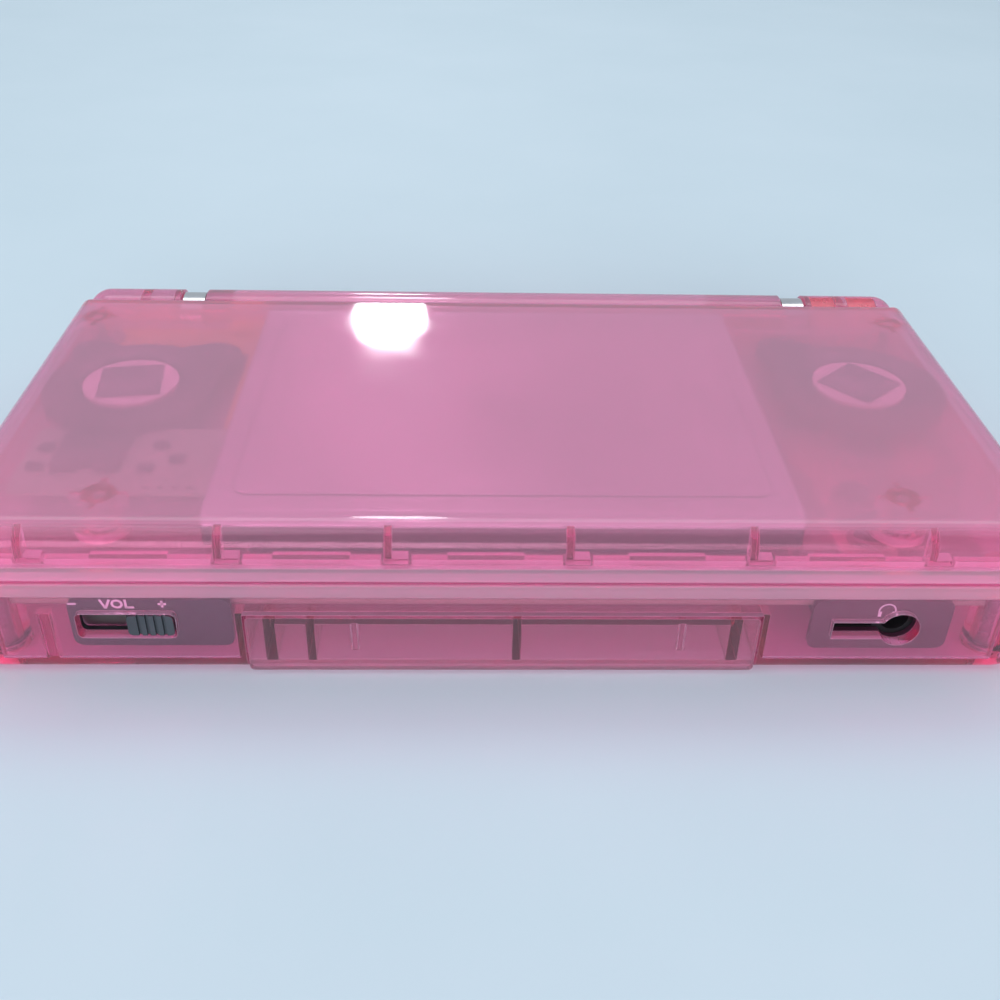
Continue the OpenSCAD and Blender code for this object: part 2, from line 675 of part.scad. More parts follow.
// Walls of the front slot and the battery bay, and the screw bosses
module base_ribs() {
  rib_top = bay_top;
  for (sx = [-1, 1]) translate([sx*(bay_x + bay_wall/2), 0, 0])
    span([-bay_wall/2, y_front + 1, foot_h + 0.3], [bay_wall/2, y_front + slot_cover_d + 5, rib_top]);
  span([battery_x0 - 0.4, battery_y1 + 0.3, foot_h + 0.3],
       [battery_x1, battery_y1 + 1.3, floor_z + battery_t]);
  span([battery_x1 + 0.3, battery_y0, foot_h + 0.3],
       [battery_x1 + 1.2, battery_y1 + 1.3, floor_z + battery_t]);
  for (at = base_screw_places()) rod_z(at, foot_h + 0.2, screw_boss_top(at), boss_r);
  for (sx = [-1, 1]) {
    span([sx*(half_w - 3) - 2.5, front_screw[1] - 0.5, floor_z - 0.2],
         [sx*(half_w - 3) + 2.5, front_screw[1] + 0.5, face_z - 3]);
    span([sx*front_screw[0] - 0.5, y_front + 1, floor_z - 0.2],
         [sx*front_screw[0] + 0.5, front_screw[1] - 1, face_z - 3]);
  }
  rod_z(battery_screw_at(), foot_h + 0.3, floor_z + 3, 2.4);
  // Stiffening rib beside the volume plate
  rod_z([volume_x0 - 4, y_front + base_wall + 0.6], floor_z - 0.2, board_z - 0.3, 0.9);
}

function base_screw_places() = [
  for (sx = [-1, 1]) [sx*front_screw[0], front_screw[1]],
  for (sx = [-1, 1]) [sx*rear_screw[0], rear_screw[1]]
];
function screw_boss_top(at) = at[1] < 0 ? face_z - 1 : shelf_z - trough_wall - 0.6;
function battery_screw_at() = [(battery_x0 + battery_x1)/2, battery_y0 - 3.4];

// The tube that the stylus slides in, on its three webs, and the stop at its tip
module stylus_channel() {
  x0 = card_w/2 + 1.1;
  rod_x(x0, half_w - 1, channel_r + channel_wall, stylus_y, stylus_z);
  for (x = [x0 + 0.5, (x0 + half_w)/2, half_w - 6])
    span([x - 0.5, stylus_y - 2, floor_z - 0.2], [x + 0.5, stylus_y + 2, stylus_z - 1]);
  span([stylus_x0 - 1.2, stylus_y - 1.6, floor_z - 0.2],
       [stylus_x0 - 0.2, stylus_y + 1.6, stylus_z + 1.5]);
}

// Lugs for the triggers' pins, and the posts that carry their switches
module trigger_seats() for (sx = [-1, 1]) {
  rod_z([sx*trigger_pin_x, trigger_pin_y], floor_z - 0.2, trigger_z - move_gap, trigger_barrel_r);
  span([sx*trigger_switch_x - 2.6, y_rear - 7, floor_z - 0.2],
       [sx*trigger_switch_x + 2.6, y_rear - 3.8, trigger_z + 0.8]);
}

module front_openings() {
  y0 = y_front - 1;
  y1 = y_front + base_wall + 0.1;
  span([-bay_x, y0, slot_cover_z0 - 0.15], [bay_x, y1, slot_cover_z1 + 0.2]);
  // Behind the opening the corner between wall and floor is sharp, for the sliding tray
  span([-bay_x, y0, floor_z], [bay_x, y1 + 0.9, slot_cover_z1 + 0.2]);
  pill_y([volume_x0, volume_z0], [volume_x1, volume_z0 + volume_slot_h], y0, y1);
  jack_hole(y0, y1);
}

// A slot with round ends through a front wall
module pill_y(a, b, y0, y1) {
  r = 0.7;
  for (x = [a[0] + r, b[0] - r], z = [a[1] + r, b[1] - r]) rod_y(y0, y1, r, x, z);
  span([a[0] + r, y0, a[1]], [b[0] - r, y1, b[1]]);
  span([a[0], y0, a[1] + r], [b[0], y1, b[1] - r]);
}

// The round plug hole and the flat socket beside it, joined as one opening
module jack_hole(y0, y1) {
  rod_y(y0, y1, jack_r + 0.6, jack_x, jack_z);
  span([jack_x - 8.3, y0, jack_z - 1.4], [jack_x, y1, jack_z + 1.1]);
}

module rear_openings() {
  y0 = y_rear - base_wall - 0.1;
  y1 = y_rear + 1;
  // The rear wall stands lower between the knuckles
  span([-knuckle_x, hinge_y + seat_gap - 1, shelf_z], [knuckle_x, y1, face_z + 1]);
  span([-card_w/2, y0, floor_z + 0.02], [card_w/2, y1, card_top]);
  span([-charge_x() - 3, y0, floor_z + 1.6], [-charge_x() + 3, y1, floor_z + 4.8]);
  // Two eyes for a wrist strap, with a bar left between them
  for (dx = [-1.6, 1.6]) span([-40 + dx - 0.8, y0, floor_z + 2], [-40 + dx + 0.8, y1, floor_z + 4.6]);
  for (sx = [-1, 1]) trigger_window(sx);
}

function charge_x() = 31.5;

// Room in the corner for a trigger, all the way round from the back to the side
module trigger_window(sx) {
  x0 = trigger_inner_x - 0.4;
  y0 = trigger_front_y - trigger_reach - move_gap;
  difference() {
    translate([sx < 0 ? -far : x0, y0, trigger_z - 0.15])
      cube([far - (sx < 0 ? x0 : 0), far, trigger_h + 0.3]);
    base_column(base_wall + 0.1, trigger_z - 1, trigger_z + trigger_h + 1);
  }
}

module floor_openings() {
  for (at = base_screw_places()) {
    rod_z(at, -1, foot_h + 1.9, 2.15);
    rod_z(at, -1, far, screw_r + (at[1] < 0 ? 0.15 : 0.02));
  }
  plate([battery_x0 - 0.6, battery_y0 - 0.6, -1], [battery_x1 + 0.2, battery_y1 + 0.2, floor_z + 0.01], 1);
  plate([battery_screw_at()[0] - 3.2, battery_screw_at()[1] - 3, -1],
        [battery_screw_at()[0] + 3.2, battery_y0, foot_h + battery_cover_t + 0.05], 1);
  rod_z(battery_screw_at(), 0, floor_z + 2.6, screw_r);
  for (sx = [-1, 1]) rod_z([sx*trigger_pin_x, trigger_pin_y], floor_z, shelf_z - 0.4, trigger_pin_r + 0.01);
}

module side_openings() {
  rod_x(card_w/2, half_w + 1, channel_r, stylus_y, stylus_z);
  span([half_w - base_wall - 0.1, power_y0() - move_gap, power_z() - 0.2],
       [half_w + 1, power_y0() + power_w() + power_travel + move_gap, power_z() + power_h() + 0.2]);
}

module face_case() color(shell) {
  difference() {
    union() {
      base_column(0, face_z, base_top, 0.4);
      difference() {
        base_column(base_wall + seat_gap, face_z - 0.8, face_z + 0.1);
        base_column(base_wall + seat_gap + 0.8, face_z - 2, face_z + 1);
        span([-knuckle_x - 1.2, lid_rear_y - 2, face_z - 2], [knuckle_x + 1.2, far, face_z]);
        // The lip steps back where the stylus channel reaches the side wall
        span([half_w - 6, stylus_y - channel_r - channel_wall, face_z - 2],
             [half_w, stylus_y + channel_r + channel_wall, face_z]);
      }
      trough();
      for (sx = [-1, 1]) {
        knuckle(sx);
        end_cap(sx);
        rod_z([sx*front_screw[0], front_screw[1]], face_z - 0.9, face_z + 0.1, boss_r);
      }
      for (at = [[dpad_x, pad_y], [action_x, pad_y]]) rod_z(at, face_z, panel_z, 1);
    }
    face_recess_cut();
    // Room for the lid's barrel and its neck
    rod_x(-knuckle_x, knuckle_x, trough_r);
    span([-knuckle_x, hinge_y - trough_r + 0.14, hinge_z - 1.4], [knuckle_x, far, far]);
    span([-knuckle_x, hinge_y, -far], [knuckle_x, far, far]);
    plate([-window_w/2, lower_window_y - window_d/2, face_z - 1],
          [window_w/2, lower_window_y + window_d/2, far], 0.8);
    dpad_hole();
    for (at = action_places()) rod_z(at, face_z - 1, far, button_r + 0.25);
    for (at = [start_at, select_at]) rod_z(at, face_z - 1, far, small_button_r + 0.25);
    for (sx = [-1, 1]) rod_z([sx*front_screw[0], front_screw[1]], face_z - 2, panel_z - 0.5, screw_r);
    for (sx = [-1, 1]) mirror([sx < 0 ? 1 : 0, 0, 0]) knuckle_hollow();
    // Bores for the hollow pin on the left and the clutch shaft on the right
    rod_x(-knuckle_x - 9, -knuckle_x + 1, pin_r + 0.02);
    rod_x(knuckle_x - 1, knuckle_x + 7, shaft_r + run_gap);
    led_pockets(0);
  }
}

// The sunk field inside the rim
module face_recess_cut()
  plate([rim_w - half_w, y_front + rim_w, panel_z],
        [half_w - rim_w, lid_rear_y - rim_w, base_top + 1], corner_r - rim_w);

// The curved wall under the barrel, a quarter of a ring
module trough() difference() {
  rod_x(-knuckle_x - 1, knuckle_x + 1, trough_r + trough_wall);
  rod_x(-far, far, trough_r);
  span([-far, hinge_y, -far], [far, far, far]);
  span([-far, -far, face_z + 0.5], [far, far, far]);
}

// The right knuckle's round form, drawn in by a wall and rounded at its outer end
module knuckle_form(inset) {
  r = knuckle_end_r - inset;
  translate([knuckle_x, hinge_y, hinge_z]) rotate([0, 90, 0]) rotate_extrude() difference() {
    square([hinge_r - inset, knuckle_len - inset]);
    translate([hinge_r - inset - r, knuckle_len - inset - r]) difference() {
      square(r + 1);
      circle(r);
    }
  }
}

// One of the base's two hinge knuckles, on its square foot
module knuckle(sx) intersection() {
  mirror([sx < 0 ? 1 : 0, 0, 0]) {
    knuckle_form(0);
    span([knuckle_x, hinge_y - hinge_r, face_z], [half_w, y_rear, hinge_z - 0.5]);
  }
  base_column(0, face_z, lid_top);
}

// The two rooms inside the right knuckle, open to the case below; the hinge bores cross
// the end wall and the web between them
module knuckle_hollow() intersection() {
  union() {
    knuckle_form(knuckle_wall);
    span([knuckle_x, hinge_y - hinge_r + knuckle_wall + 0.4, face_z - 1],
         [half_w - base_wall - 1, y_rear - base_wall - 1, hinge_z - 0.5]);
  }
  base_column(knuckle_wall, face_z - 1, lid_top);
  for (x = [[knuckle_x + knuckle_wall, led_spans()[0][1] + 0.3], [led_spans()[1][0] - 0.3, half_w]])
    span([x[0], -far, -far], [x[1], far, far]);
}

// Closes the trough's open end below a knuckle
module end_cap(sx) difference() {
  rod_x(sx < 0 ? -knuckle_x - 1 : knuckle_x, sx < 0 ? -knuckle_x : knuckle_x + 1, trough_r + trough_wall);
  span([-far, hinge_y, -far], [far, far, far]);
  span([-far, -far, face_z + 0.5], [far, far, far]);
}

function action_places() = [
  [action_x + button_pitch, pad_y], [action_x, pad_y - button_pitch],
  [action_x, pad_y + button_pitch], [action_x - button_pitch, pad_y]
];

module dpad_hole() translate([dpad_x, pad_y, 0]) {
  w = dpad_arm/2 + move_gap;
  l = dpad_span/2 + move_gap;
  for (a = [0, 90]) rotate([0, 0, a]) plate([-l, -w, face_z - 1], [l, w, far], 1);
}

// Windows for the two lamps, in the right knuckle's upper front
module led_pockets(gap) difference() {
  for (x = led_spans()) span([x[0] + gap, hinge_y - 4.4 + gap, hinge_z + 1.9],
                             [x[1] - gap, hinge_y + 0.6 - gap, far]);
  rod_x(knuckle_x, half_w, shaft_r + run_gap + 1.1 + gap);
}

function led_spans() = [[knuckle_x + 0.9, knuckle_x + 4.8], [knuckle_x + 6.9, knuckle_x + 11.6]];

module led_light_guides() color([0.95, 0.4, 0.45]) intersection() {
  led_pockets(0.05);
  knuckle_form(0.1);
}

module battery_cover() color(shell) {
  z1 = foot_h + battery_cover_t;
  s = battery_screw_at();
  difference() {
    union() {
      plate([battery_x0 - 0.5, battery_y0 - 0.5, foot_h], [battery_x1 + 0.1, battery_y1 + 0.1, z1], 0.9);
      plate([s[0] - 3.1, s[1] - 2.9, foot_h], [s[0] + 3.1, battery_y0 + 2, z1], 0.9);
    }
    rod_z(s, 0, foot_h + 0.6, screw_head_r + 0.15);
    rod_z(s, 0, z1 + 1, screw_r + 0.15);
    // A row of finger grooves
    for (i = [-2 : 2]) rod_x(s[0] - 5, s[0] + 5, 0.4, battery_y0 + 6 + i*1.6, foot_h);
  }
}

module battery() color([0.3, 0.32, 0.36]) {
  z0 = floor_z + 0.05;
  difference() {
    pebble(battery_x0, battery_x1, battery_y0, battery_y1, z0, z0 + battery_t, 1.5, 0.5, 0.5);
    for (i = [-1 : 1]) span([(battery_x0 + battery_x1)/2 + i*4 - 1, battery_y1 - 1, z0 + 1.5],
                            [(battery_x0 + battery_x1)/2 + i*4 + 1, battery_y1 + 1, z0 + 4]);
  }
}

module battery_screw() color(steel) screw(battery_screw_at(), foot_h + 0.08, 3.4, 0.5);

// Boards and what they carry

module main_board() color([0.12, 0.4, 0.28]) {
  left_rear_y = lid_rear_y + 0.2;
  right_rear_y = stylus_y - channel_r - channel_wall - 0.4;
  difference() {
    union() {
      plate([3.5 - half_w + base_wall, y_front + 3.2, board_z],
            [half_w - base_wall - 3.5, right_rear_y, board_top], 1.5);
      plate([trigger_inner_x*-1 + 1, pad_y, board_z], [stylus_x0 - 2, left_rear_y, board_top], 1.5);
    }
    for (sx = [-1, 1]) rod_z([sx*front_screw[0], front_screw[1]], board_z - 1, board_top + 1, boss_r + 0.4);
  }
}

module board_chips() color([0.15, 0.15, 0.16]) {
  z1 = board_z;
  y = lower_display_y1 - 6;
  // Each chip's middle in X, and its width and height
  for (c = [[1.3 - bay_x, 12, 1.4], [bay_x - 3.3, 9, 1.2], [bay_x + 8.7, 6, 1.2]])
    span([c[0] - c[1]/2, y - 4, z1 - c[2]], [c[0] + c[1]/2, y + 4, z1]);
  for (i = [0 : 5]) span([bay_x + 6.7 + i*3.6, pad_y - 15, z1 - 1], [bay_x + 8.7 + i*3.6, pad_y - 13.6, z1]);
}

module wireless_module() color(steel) {
  x0 = bay_x + bay_wall + 3;
  x1 = half_w - base_wall - 6;
  y1 = lower_display_y1 - 10.4;
  y0 = y1 - 18;
  plate([x0, y0, board_z - 0.5], [x1, y1, board_z], 0.8);
  difference() {
    span([x0 + 2, y0 + 2, board_z - 2.4], [x1 - 6, y1 - 2, board_z - 0.4]);
    for (i = [0 : 4]) rod_z([x0 + 5 + i*3, y0 + 9], board_z - 3, board_z - 2, 0.7);
  }
}

module lower_display_frame() color(steel) {
  z = lower_display_z;
  w = display_w/2;
  difference() {
    plate([-w, lower_display_y0, z], [w, lower_display_y1, z + lower_display_t], 0.6);
    span([0.6 - w, lower_display_y0 + 0.6, z + 0.3], [w - 0.6, lower_display_y1 - 0.6, far]);
  }
}

module lower_display_panel() color([0.1, 0.1, 0.12]) {
  w = display_w/2 - 0.7;
  span([-w, lower_display_y0 + 0.7, lower_display_z + 0.32],
       [w, lower_display_y1 - 0.7, lower_display_z + lower_display_t - 0.02]);
}

module touch_panel() color([0.6, 0.65, 0.7, 0.6]) {
  w = display_w/2 - 0.2;
  plate([-w, lower_display_y0 + 0.2, touch_z + 0.02], [w, lower_display_y1 - 0.2, touch_z + touch_t], 0.6);
}

module dpad_membrane() color([0.85, 0.85, 0.88]) {
  r = dpad_flange_r + 0.3;
  plate([dpad_x - r, pad_y - r, board_top], [dpad_x + r, pad_y + r, membrane_top], 3);
  for (a = [0 : 90 : 270]) translate([dpad_x, pad_y, membrane_top - 0.1]) rotate([0, 0, a])
    translate([dpad_span/2 - 3.1, 0, 0]) cylinder(r1 = 2.6, r2 = 2, h = 0.25);
}

module action_membrane() color([0.85, 0.85, 0.88]) {
  reach = button_pitch + button_r + 0.1;
  foot = small_button_r + 1.4;
  plate([action_x - reach, pad_y - reach, board_top],
        [action_x + reach - 0.2, pad_y + reach, membrane_top], 3);
  plate([start_at[0] - foot - 0.2, select_at[1] - foot, board_top],
        [start_at[0] + foot + 0.2, pad_y - button_pitch, membrane_top], 2);
  for (at = action_places()) rod_z(at, membrane_top - 0.1, membrane_top + 0.1, button_r - 0.9);
  for (at = [start_at, select_at])
    rod_z(at, membrane_top - 0.1, membrane_top + 0.1, small_button_r - 0.4);
}

// Folded sheet cage over the card, open at the back and below
module card_slot_cage() color(steel) {
  y0 = cage_y0;
  y1 = y_rear - base_wall - 0.1;
  x = card_w/2;
  difference() {
    span([-x - cage_t, y0, floor_z + 0.02], [x + cage_t, y1, card_top + cage_t]);
    span([-x, y0 - 1, floor_z - 1], [x, y1 + 1, card_top]);
    // Lightening windows in the roof
    for (sx = [-1, 1]) plate([sx*x/2 - 4, y0 + 9, card_top - 1], [sx*x/2 + 4, y0 + 17, card_top + 1], 1);
    plate([-3, y0 + 20, card_top - 1], [3, y0 + 23, card_top + 1], 1);
  }
}

module card_connector() color(dark) {
  x = card_w/2 - 0.1;
  y0 = cage_y0 + 0.1;
  y1 = y_rear - card_d;
  difference() {
    span([-x, y0, floor_z + 0.05], [x, y1, card_top - 0.05]);
    for (i = [0 : 16]) span([-12.8 + i*1.6 - 0.4, y1 - 2.4, floor_z + 0.8],
                            [-12.8 + i*1.6 + 0.4, y1 + 1, floor_z + 2.6]);
  }
}

module cartridge_connector() color(dark) {
  y0 = cartridge_connector_y0;
  y1 = cartridge_connector_y1;
  difference() {
    span([3 - bay_x, y0, floor_z + 0.1], [bay_x - 3, y1, bay_top]);
    span([5 - bay_x, y0 - 1, floor_z + 2.6], [bay_x - 5, y1 - 1.6, floor_z + 4.6]);
    for (i = [-10 : 10]) span([i*2.2 - 0.5, y0 - 1, floor_z + 1.2], [i*2.2 + 0.5, y0 + 1.5, floor_z + 3]);
  }
}

module headphone_socket() color(dark) {
  y0 = plate_y + plate_t + 0.1;
  difference() {
    span([jack_x - 8.8, y0, jack_z - 2.8], [jack_x + 3, y0 + 12.4, board_z]);
    rod_y(y0 - 1, y0 + 12, jack_r, jack_x, jack_z);
    span([jack_x - 8.1, y0 - 1, jack_z - 1.3], [jack_x - 2.6, y0 + 5, jack_z + 1]);
  }
  for (i = [0 : 4]) span([jack_x - 7.3 + i, y0 + 2.5, jack_z - 0.6], [jack_x - 7 + i, y0 + 5.1, jack_z - 0.2]);
}

// Dark plates behind the front wall that frame the socket and the volume knob
module jack_plate() color(dark) difference() {
  plate_y_part([jack_x - 10.8, jack_z - 3.6], [jack_x + 6.4, face_z - 1.1]);
  jack_hole(plate_y - 1, plate_y + 2);
}

module volume_plate() color(dark) difference() {
  plate_y_part([volume_x0 - 1, volume_z0 - 1.9], [volume_x1 + 6.5, face_z - 1.1]);
  pill_y([volume_x0, volume_z0], [volume_x1, volume_z0 + volume_slot_h], plate_y - 1, plate_y + 2);
}

module plate_y_part(a, b) {
  r = 1.2;
  pill_y_solid(a, b, plate_y, plate_y + plate_t, r);
}

module pill_y_solid(a, b, y0, y1, r) {
  for (x = [a[0] + r, b[0] - r], z = [a[1] + r, b[1] - r]) rod_y(y0, y1, r, x, z);
  span([a[0] + r, y0, a[1]], [b[0] - r, y1, b[1]]);
  span([a[0], y0, a[1] + r], [b[0], y1, b[1] - r]);
}

function knob_flange_y() = plate_y + plate_t + 0.2;

module volume_switch() color(steel) {
  y0 = knob_flange_y() + 0.9;
  difference() {
    span([volume_x0 - 1.5, y0, volume_z0 - 0.8], [volume_x1 + 1.5, y0 + 3.6, board_z]);
    span([volume_x0 - 0.5, y0 - 1, volume_z0 + 1], [volume_x1 + 0.5, y0 + 1.8, volume_z0 + 2.6]);
  }
}

module charge_socket() color(dark) {
  y1 = y_rear - base_wall - 0.1;
  x = -charge_x();
  difference() {
    span([x - 3.8, y1 - 6.5, floor_z + 0.02], [x + 3.8, y1, floor_z + 5.4]);
    // Its lower edge clears the rounding inside the case
    span([x - 4, y1 - 0.9, floor_z - 1], [x + 4, y1 + 1, floor_z + 0.9]);
    span([x - 2.9, y1 - 5.5, floor_z + 1.7], [x + 2.9, y1 + 1, floor_z + 4.7]);
  }
  span([x - 2, y1 - 5.6, floor_z + 2.9], [x + 2, y1 - 1, floor_z + 3.5]);
}

function power_y0() = -8;
function power_w() = 8;
function power_h() = 2.8;
function power_z() = floor_z + 6;
function power_plate_x() = half_w - base_wall - move_gap;

module power_switch() color(steel) {
  x1 = power_plate_x() - 0.8 - move_gap;
  difference() {
    span([x1 - 4, power_y0() - 1.5, board_z - 2.6], [x1, power_y0() + 12, board_z - 0.02]);
    span([x1 - 1.6, power_y0() + 1, board_z - 1.8], [x1 + 1, power_y0() + 9.5, board_z - 0.8]);
  }
}

// Metal parts and small hardware of the base

module trigger_pins() color(steel) for (sx = [-1, 1])
  rod_z([sx*trigger_pin_x, trigger_pin_y], floor_z + 0.1, shelf_z - 0.5, trigger_pin_r);

function unit(v) = v/norm(v);
function heading(p, i) = unit(p[min(i + 1, len(p) - 1)] - p[max(i - 1, 0)]);

// A closed tube of six sides along a list of points
module tube_along(p, r) {
  n = 6;
  ring = [for (i = [0 : len(p) - 1]) let (
      t = heading(p, i),
      side = unit(cross(t, [0, 0, 1])),
      up = cross(side, t)
    ) for (k = [0 : n - 1]) p[i] + r*(cos(k*360/n)*side + sin(k*360/n)*up)];
  last = (len(p) - 1)*n;
  faces = concat(
    [for (k = [1 : n - 2]) [0, k, k + 1]],
    [for (k = [1 : n - 2]) [last, last + k + 1, last + k]],
    [for (i = [0 : len(p) - 2], k = [0 : n - 1], half = [0, 1]) let (
        a = i*n + k, b = i*n + (k + 1) % n, c = a + n, d = b + n
      ) half == 0 ? [a, c, b] : [b, c, d]]
  );
  polyhedron(ring, faces);
}

module trigger_springs() color(steel) for (sx = [-1, 1])
  translate([sx*trigger_pin_x, trigger_pin_y, trigger_z + spring_seat() + 0.3])
    mirror([sx < 0 ? 1 : 0, 0, 0]) rotate([0, 0, -90]) tube_along(spring_route, spring_wire_r);

function spring_seat() = trigger_h - 2.6;

module trigger_switches() for (sx = [-1, 1]) {
  x = sx*trigger_switch_x;
  z = trigger_z + 0.8;
  color(steel) span([x - 2.4, y_rear - 6.8, z], [x + 2.4, y_rear - 4.2, z + 2.8]);
  color(dark) rod_y(y_rear - 4.3, y_rear - 3.9, 0.9, x, z + 1.4);
}

module base_screws() color(steel) for (at = base_screw_places())
  screw(at, foot_h + 1, at[1] < 0 ? panel_z - foot_h - 1.7 : screw_boss_top(at) - foot_h - 1.4);

module rubber_feet() color([0.9, 0.55, 0.7]) for (at = base_screw_places())
  translate([at[0], at[1], 0]) rotate_extrude() difference() {
    square([2.1, foot_h + 0.9]);
    translate([1.8, 0]) difference() {
      square([1, 0.3]);
      translate([0, 0.3]) circle(0.3);
    }
  }

// Hollow pin that the ribbon runs through, with the collar that shows in the gap
module hinge_pin() color(steel) difference() {
  union() {
    rod_x(-knuckle_x - 8.5, left_bore_len - barrel_x - 0.3, pin_r);
    rod_x(move_gap - knuckle_x, -barrel_x - move_gap, collar_r);
  }
  rod_x(-far, far, pin_r - 0.9);
}

// Pieces that move

// The pad's rocker: a short post with two crossed round trunnions at the rocking point
module dpad_pivot() color(dark) {
  rod_z([dpad_x, pad_y], membrane_top + 0.1, dpad_z, 1.3);
  rod_x(dpad_x - pivot_reach, dpad_x + pivot_reach, pivot_r, pad_y, dpad_z);
  rod_y(pad_y - pivot_reach, pad_y + pivot_reach, pivot_r, dpad_x, dpad_z);
}

module dpad() color(dark) translate([dpad_x, pad_y, 0]) {
  w = dpad_arm/2;
  l = dpad_span/2;
  top = panel_z + button_rise;
  difference() {
    union() {
      rod_z([0, 0], dpad_z, dpad_flange_top, dpad_flange_r);
      for (a = [0, 90]) rotate([0, 0, a]) pebble(-l, l, -w, w, dpad_z, top, 1.2, 0.5);
    }
    // Pocket for the rocker
    rod_z([0, 0], dpad_z - 1, dpad_z + pivot_r + 0.4, pivot_reach + 0.4);
    // A shallow thumb dish, and a groove along each arm
    translate([0, 0, top + 11.6]) sphere(r = 12, $fn = 64);
    for (a = [0 : 90 : 270]) rotate([0, 0, a]) translate([l - 3, 0, top])
      cube([2.4, 0.5, 0.4], center = true);
  }
}

// A round button with a rounded rim and a retaining flange under the plate
module button(at, r, top, bottom) translate([at[0], at[1], 0]) rotate_extrude() {
  square_from(0, bottom, r - 0.7, top);
  square_from(0, face_z - seat_gap - flange_t, r + 0.8, face_z - seat_gap);
  square_from(0, face_z - seat_gap - 0.1, r, top - 0.5);
  translate([r - 0.5, top - 0.5]) intersection() {
    circle(0.5);
    square(0.5);
  }
  square_from(0, top - 0.6, r - 0.5, top);
}

module square_from(x0, y0, x1, y1) translate([x0, y0]) square([x1 - x0, y1 - y0]);

module action_button(i) button(action_places()[i], button_r, panel_z + button_rise,
                               membrane_top + 0.2 + button_travel);

module button_a() color(dark) action_button(0);

module button_b() color(dark) action_button(1);

module button_x() color(dark) action_button(2);

module button_y() color(dark) action_button(3);

module small_button(at) button(at, small_button_r, panel_z + 0.8,
                               membrane_top + 0.2 + small_button_travel);

module start_button() color(dark) small_button(start_at);

module select_button() color(dark) small_button(select_at);

// A shoulder trigger: a curved wall round the corner, its barrel and its switch rib
module trigger() {
  z0 = trigger_z;
  z1 = trigger_z + trigger_h;
  barrel_top = z0 + spring_seat();
  difference() {
    union() {
      difference() {
        intersection() {
          base_column(0.02, z0, z1, 0.3, 0.3);
          span([trigger_inner_x, trigger_front_y, z0 - 1], [far, far, z1 + 1]);
        }
        base_column(trigger_wall, z0 - 1, z1 + 1);
      }
      rod_z([trigger_pin_x, trigger_pin_y], z0, barrel_top, trigger_barrel_r);
      span([trigger_switch_x - 0.5, y_rear - 2.8, z0 + 0.6],
           [trigger_switch_x + 0.5, y_rear - 1, z1 - 0.6]);
    }
    rod_z([trigger_pin_x, trigger_pin_y], z0 - 1, z1 + 1, trigger_pin_r + run_gap);
    rod_z([trigger_pin_x, trigger_pin_y], barrel_top, z1 + 1, spring_coil_r + 0.5);
  }
}

module right_trigger() color(dark) trigger();

module left_trigger() color(dark) mirror([1, 0, 0]) trigger();

module power_slider() color(dark) {
  x = power_plate_x();
  y = power_y0();
  z = power_z();
  difference() {
    span([x - 0.1, y, z], [half_w, y + power_w(), z + power_h()]);
    for (i = [0 : 4]) span([half_w - 0.3, y + 1.5 + i*1.2, z - 1],
                           [half_w + 1, y + 2 + i*1.2, z + power_h() + 1]);
  }
  span([x - 0.8, y - 2, z - 0.6], [x, y + power_w() + 2, z + power_h() + 0.2]);
}

// The knob stands at its loud end; it slides towards the left
module volume_knob() color(dark) {
  x1 = volume_x1 - move_gap;
  x0 = x1 - volume_knob_w;
  z0 = volume_z0 + move_gap;
  z1 = volume_z0 + volume_slot_h - move_gap;
  y1 = knob_flange_y();
  difference() {
    pill_y_solid([x0, z0], [x1, z1], y_front + 0.1, y1 + 0.1, 0.6);
    for (i = [0 : 3]) span([x0 + 1.2 + i, y_front - 1, z0 - 1], [x0 + 1.6 + i, y_front + 0.4, z1 + 1]);
  }
  span([x0 - 0.8, y1, z0 - 0.8], [x1 + 0.8, y1 + 0.7, z1 + 0.8]);
}

// Head, shaft and soft tip of the stylus, turned about its own length
module stylus() color(dark) translate([stylus_x0, stylus_y, stylus_z]) rotate([0, 90, 0])
  rotate_extrude() {
    difference() {
      polygon([[0, 0.4], [0.55, 0.4], [0.9, 5], [1.5, 8], [stylus_r, 14], [stylus_r, stylus_len - 0.5],
               [stylus_r - 0.5, stylus_len], [0, stylus_len]]);
      translate([stylus_r + 0.1, stylus_len - 9]) circle(0.5);
      translate([stylus_r + 0.1, stylus_len - 3]) circle(0.5);
    }
    intersection() {
      translate([0, 0.55]) circle(0.55);
      square(2);
    }
  }

// The cover of the front slot: a face plate, and a ribbed tray open below
module slot_cover() color(shell) {
  w = slot_cover_w/2;
  y0 = y_front - cover_proud;
  y_face = y_front + base_wall - 0.4;
  y1 = y_front + slot_cover_d;
  z0 = floor_z + move_gap;
  z1 = bay_top - move_gap;
  difference() {
    union() {
      pill_y_solid([-w, slot_cover_z0], [w, slot_cover_z1], y0, y_face, 0.6);
      span([2 - w, y_face - 0.1, z0], [w - 2, y1, z1]);
    }
    span([3.4 - w, y_face, z0 - 1], [w - 3.4, y1 - 1.2, z1 - 1.1]);
  }
  for (x = [-23.4, 1.6]) span([x - 0.5, y_face - 0.1, z0], [x + 0.5, y1 - 1, z1 - 1]);
  for (x = [-18.1, 21.7]) rod_z([x, y_face], z0 + 1.6, z1 - 1, 0.5);
  for (sx = [-1, 1]) translate([sx*(w - 2), (y_face + y1)/2 - 4.5, (z0 + z1)/2])
    rotate([0, 90, 0]) cylinder(r = 1.5, h = 0.8, center = true);
}

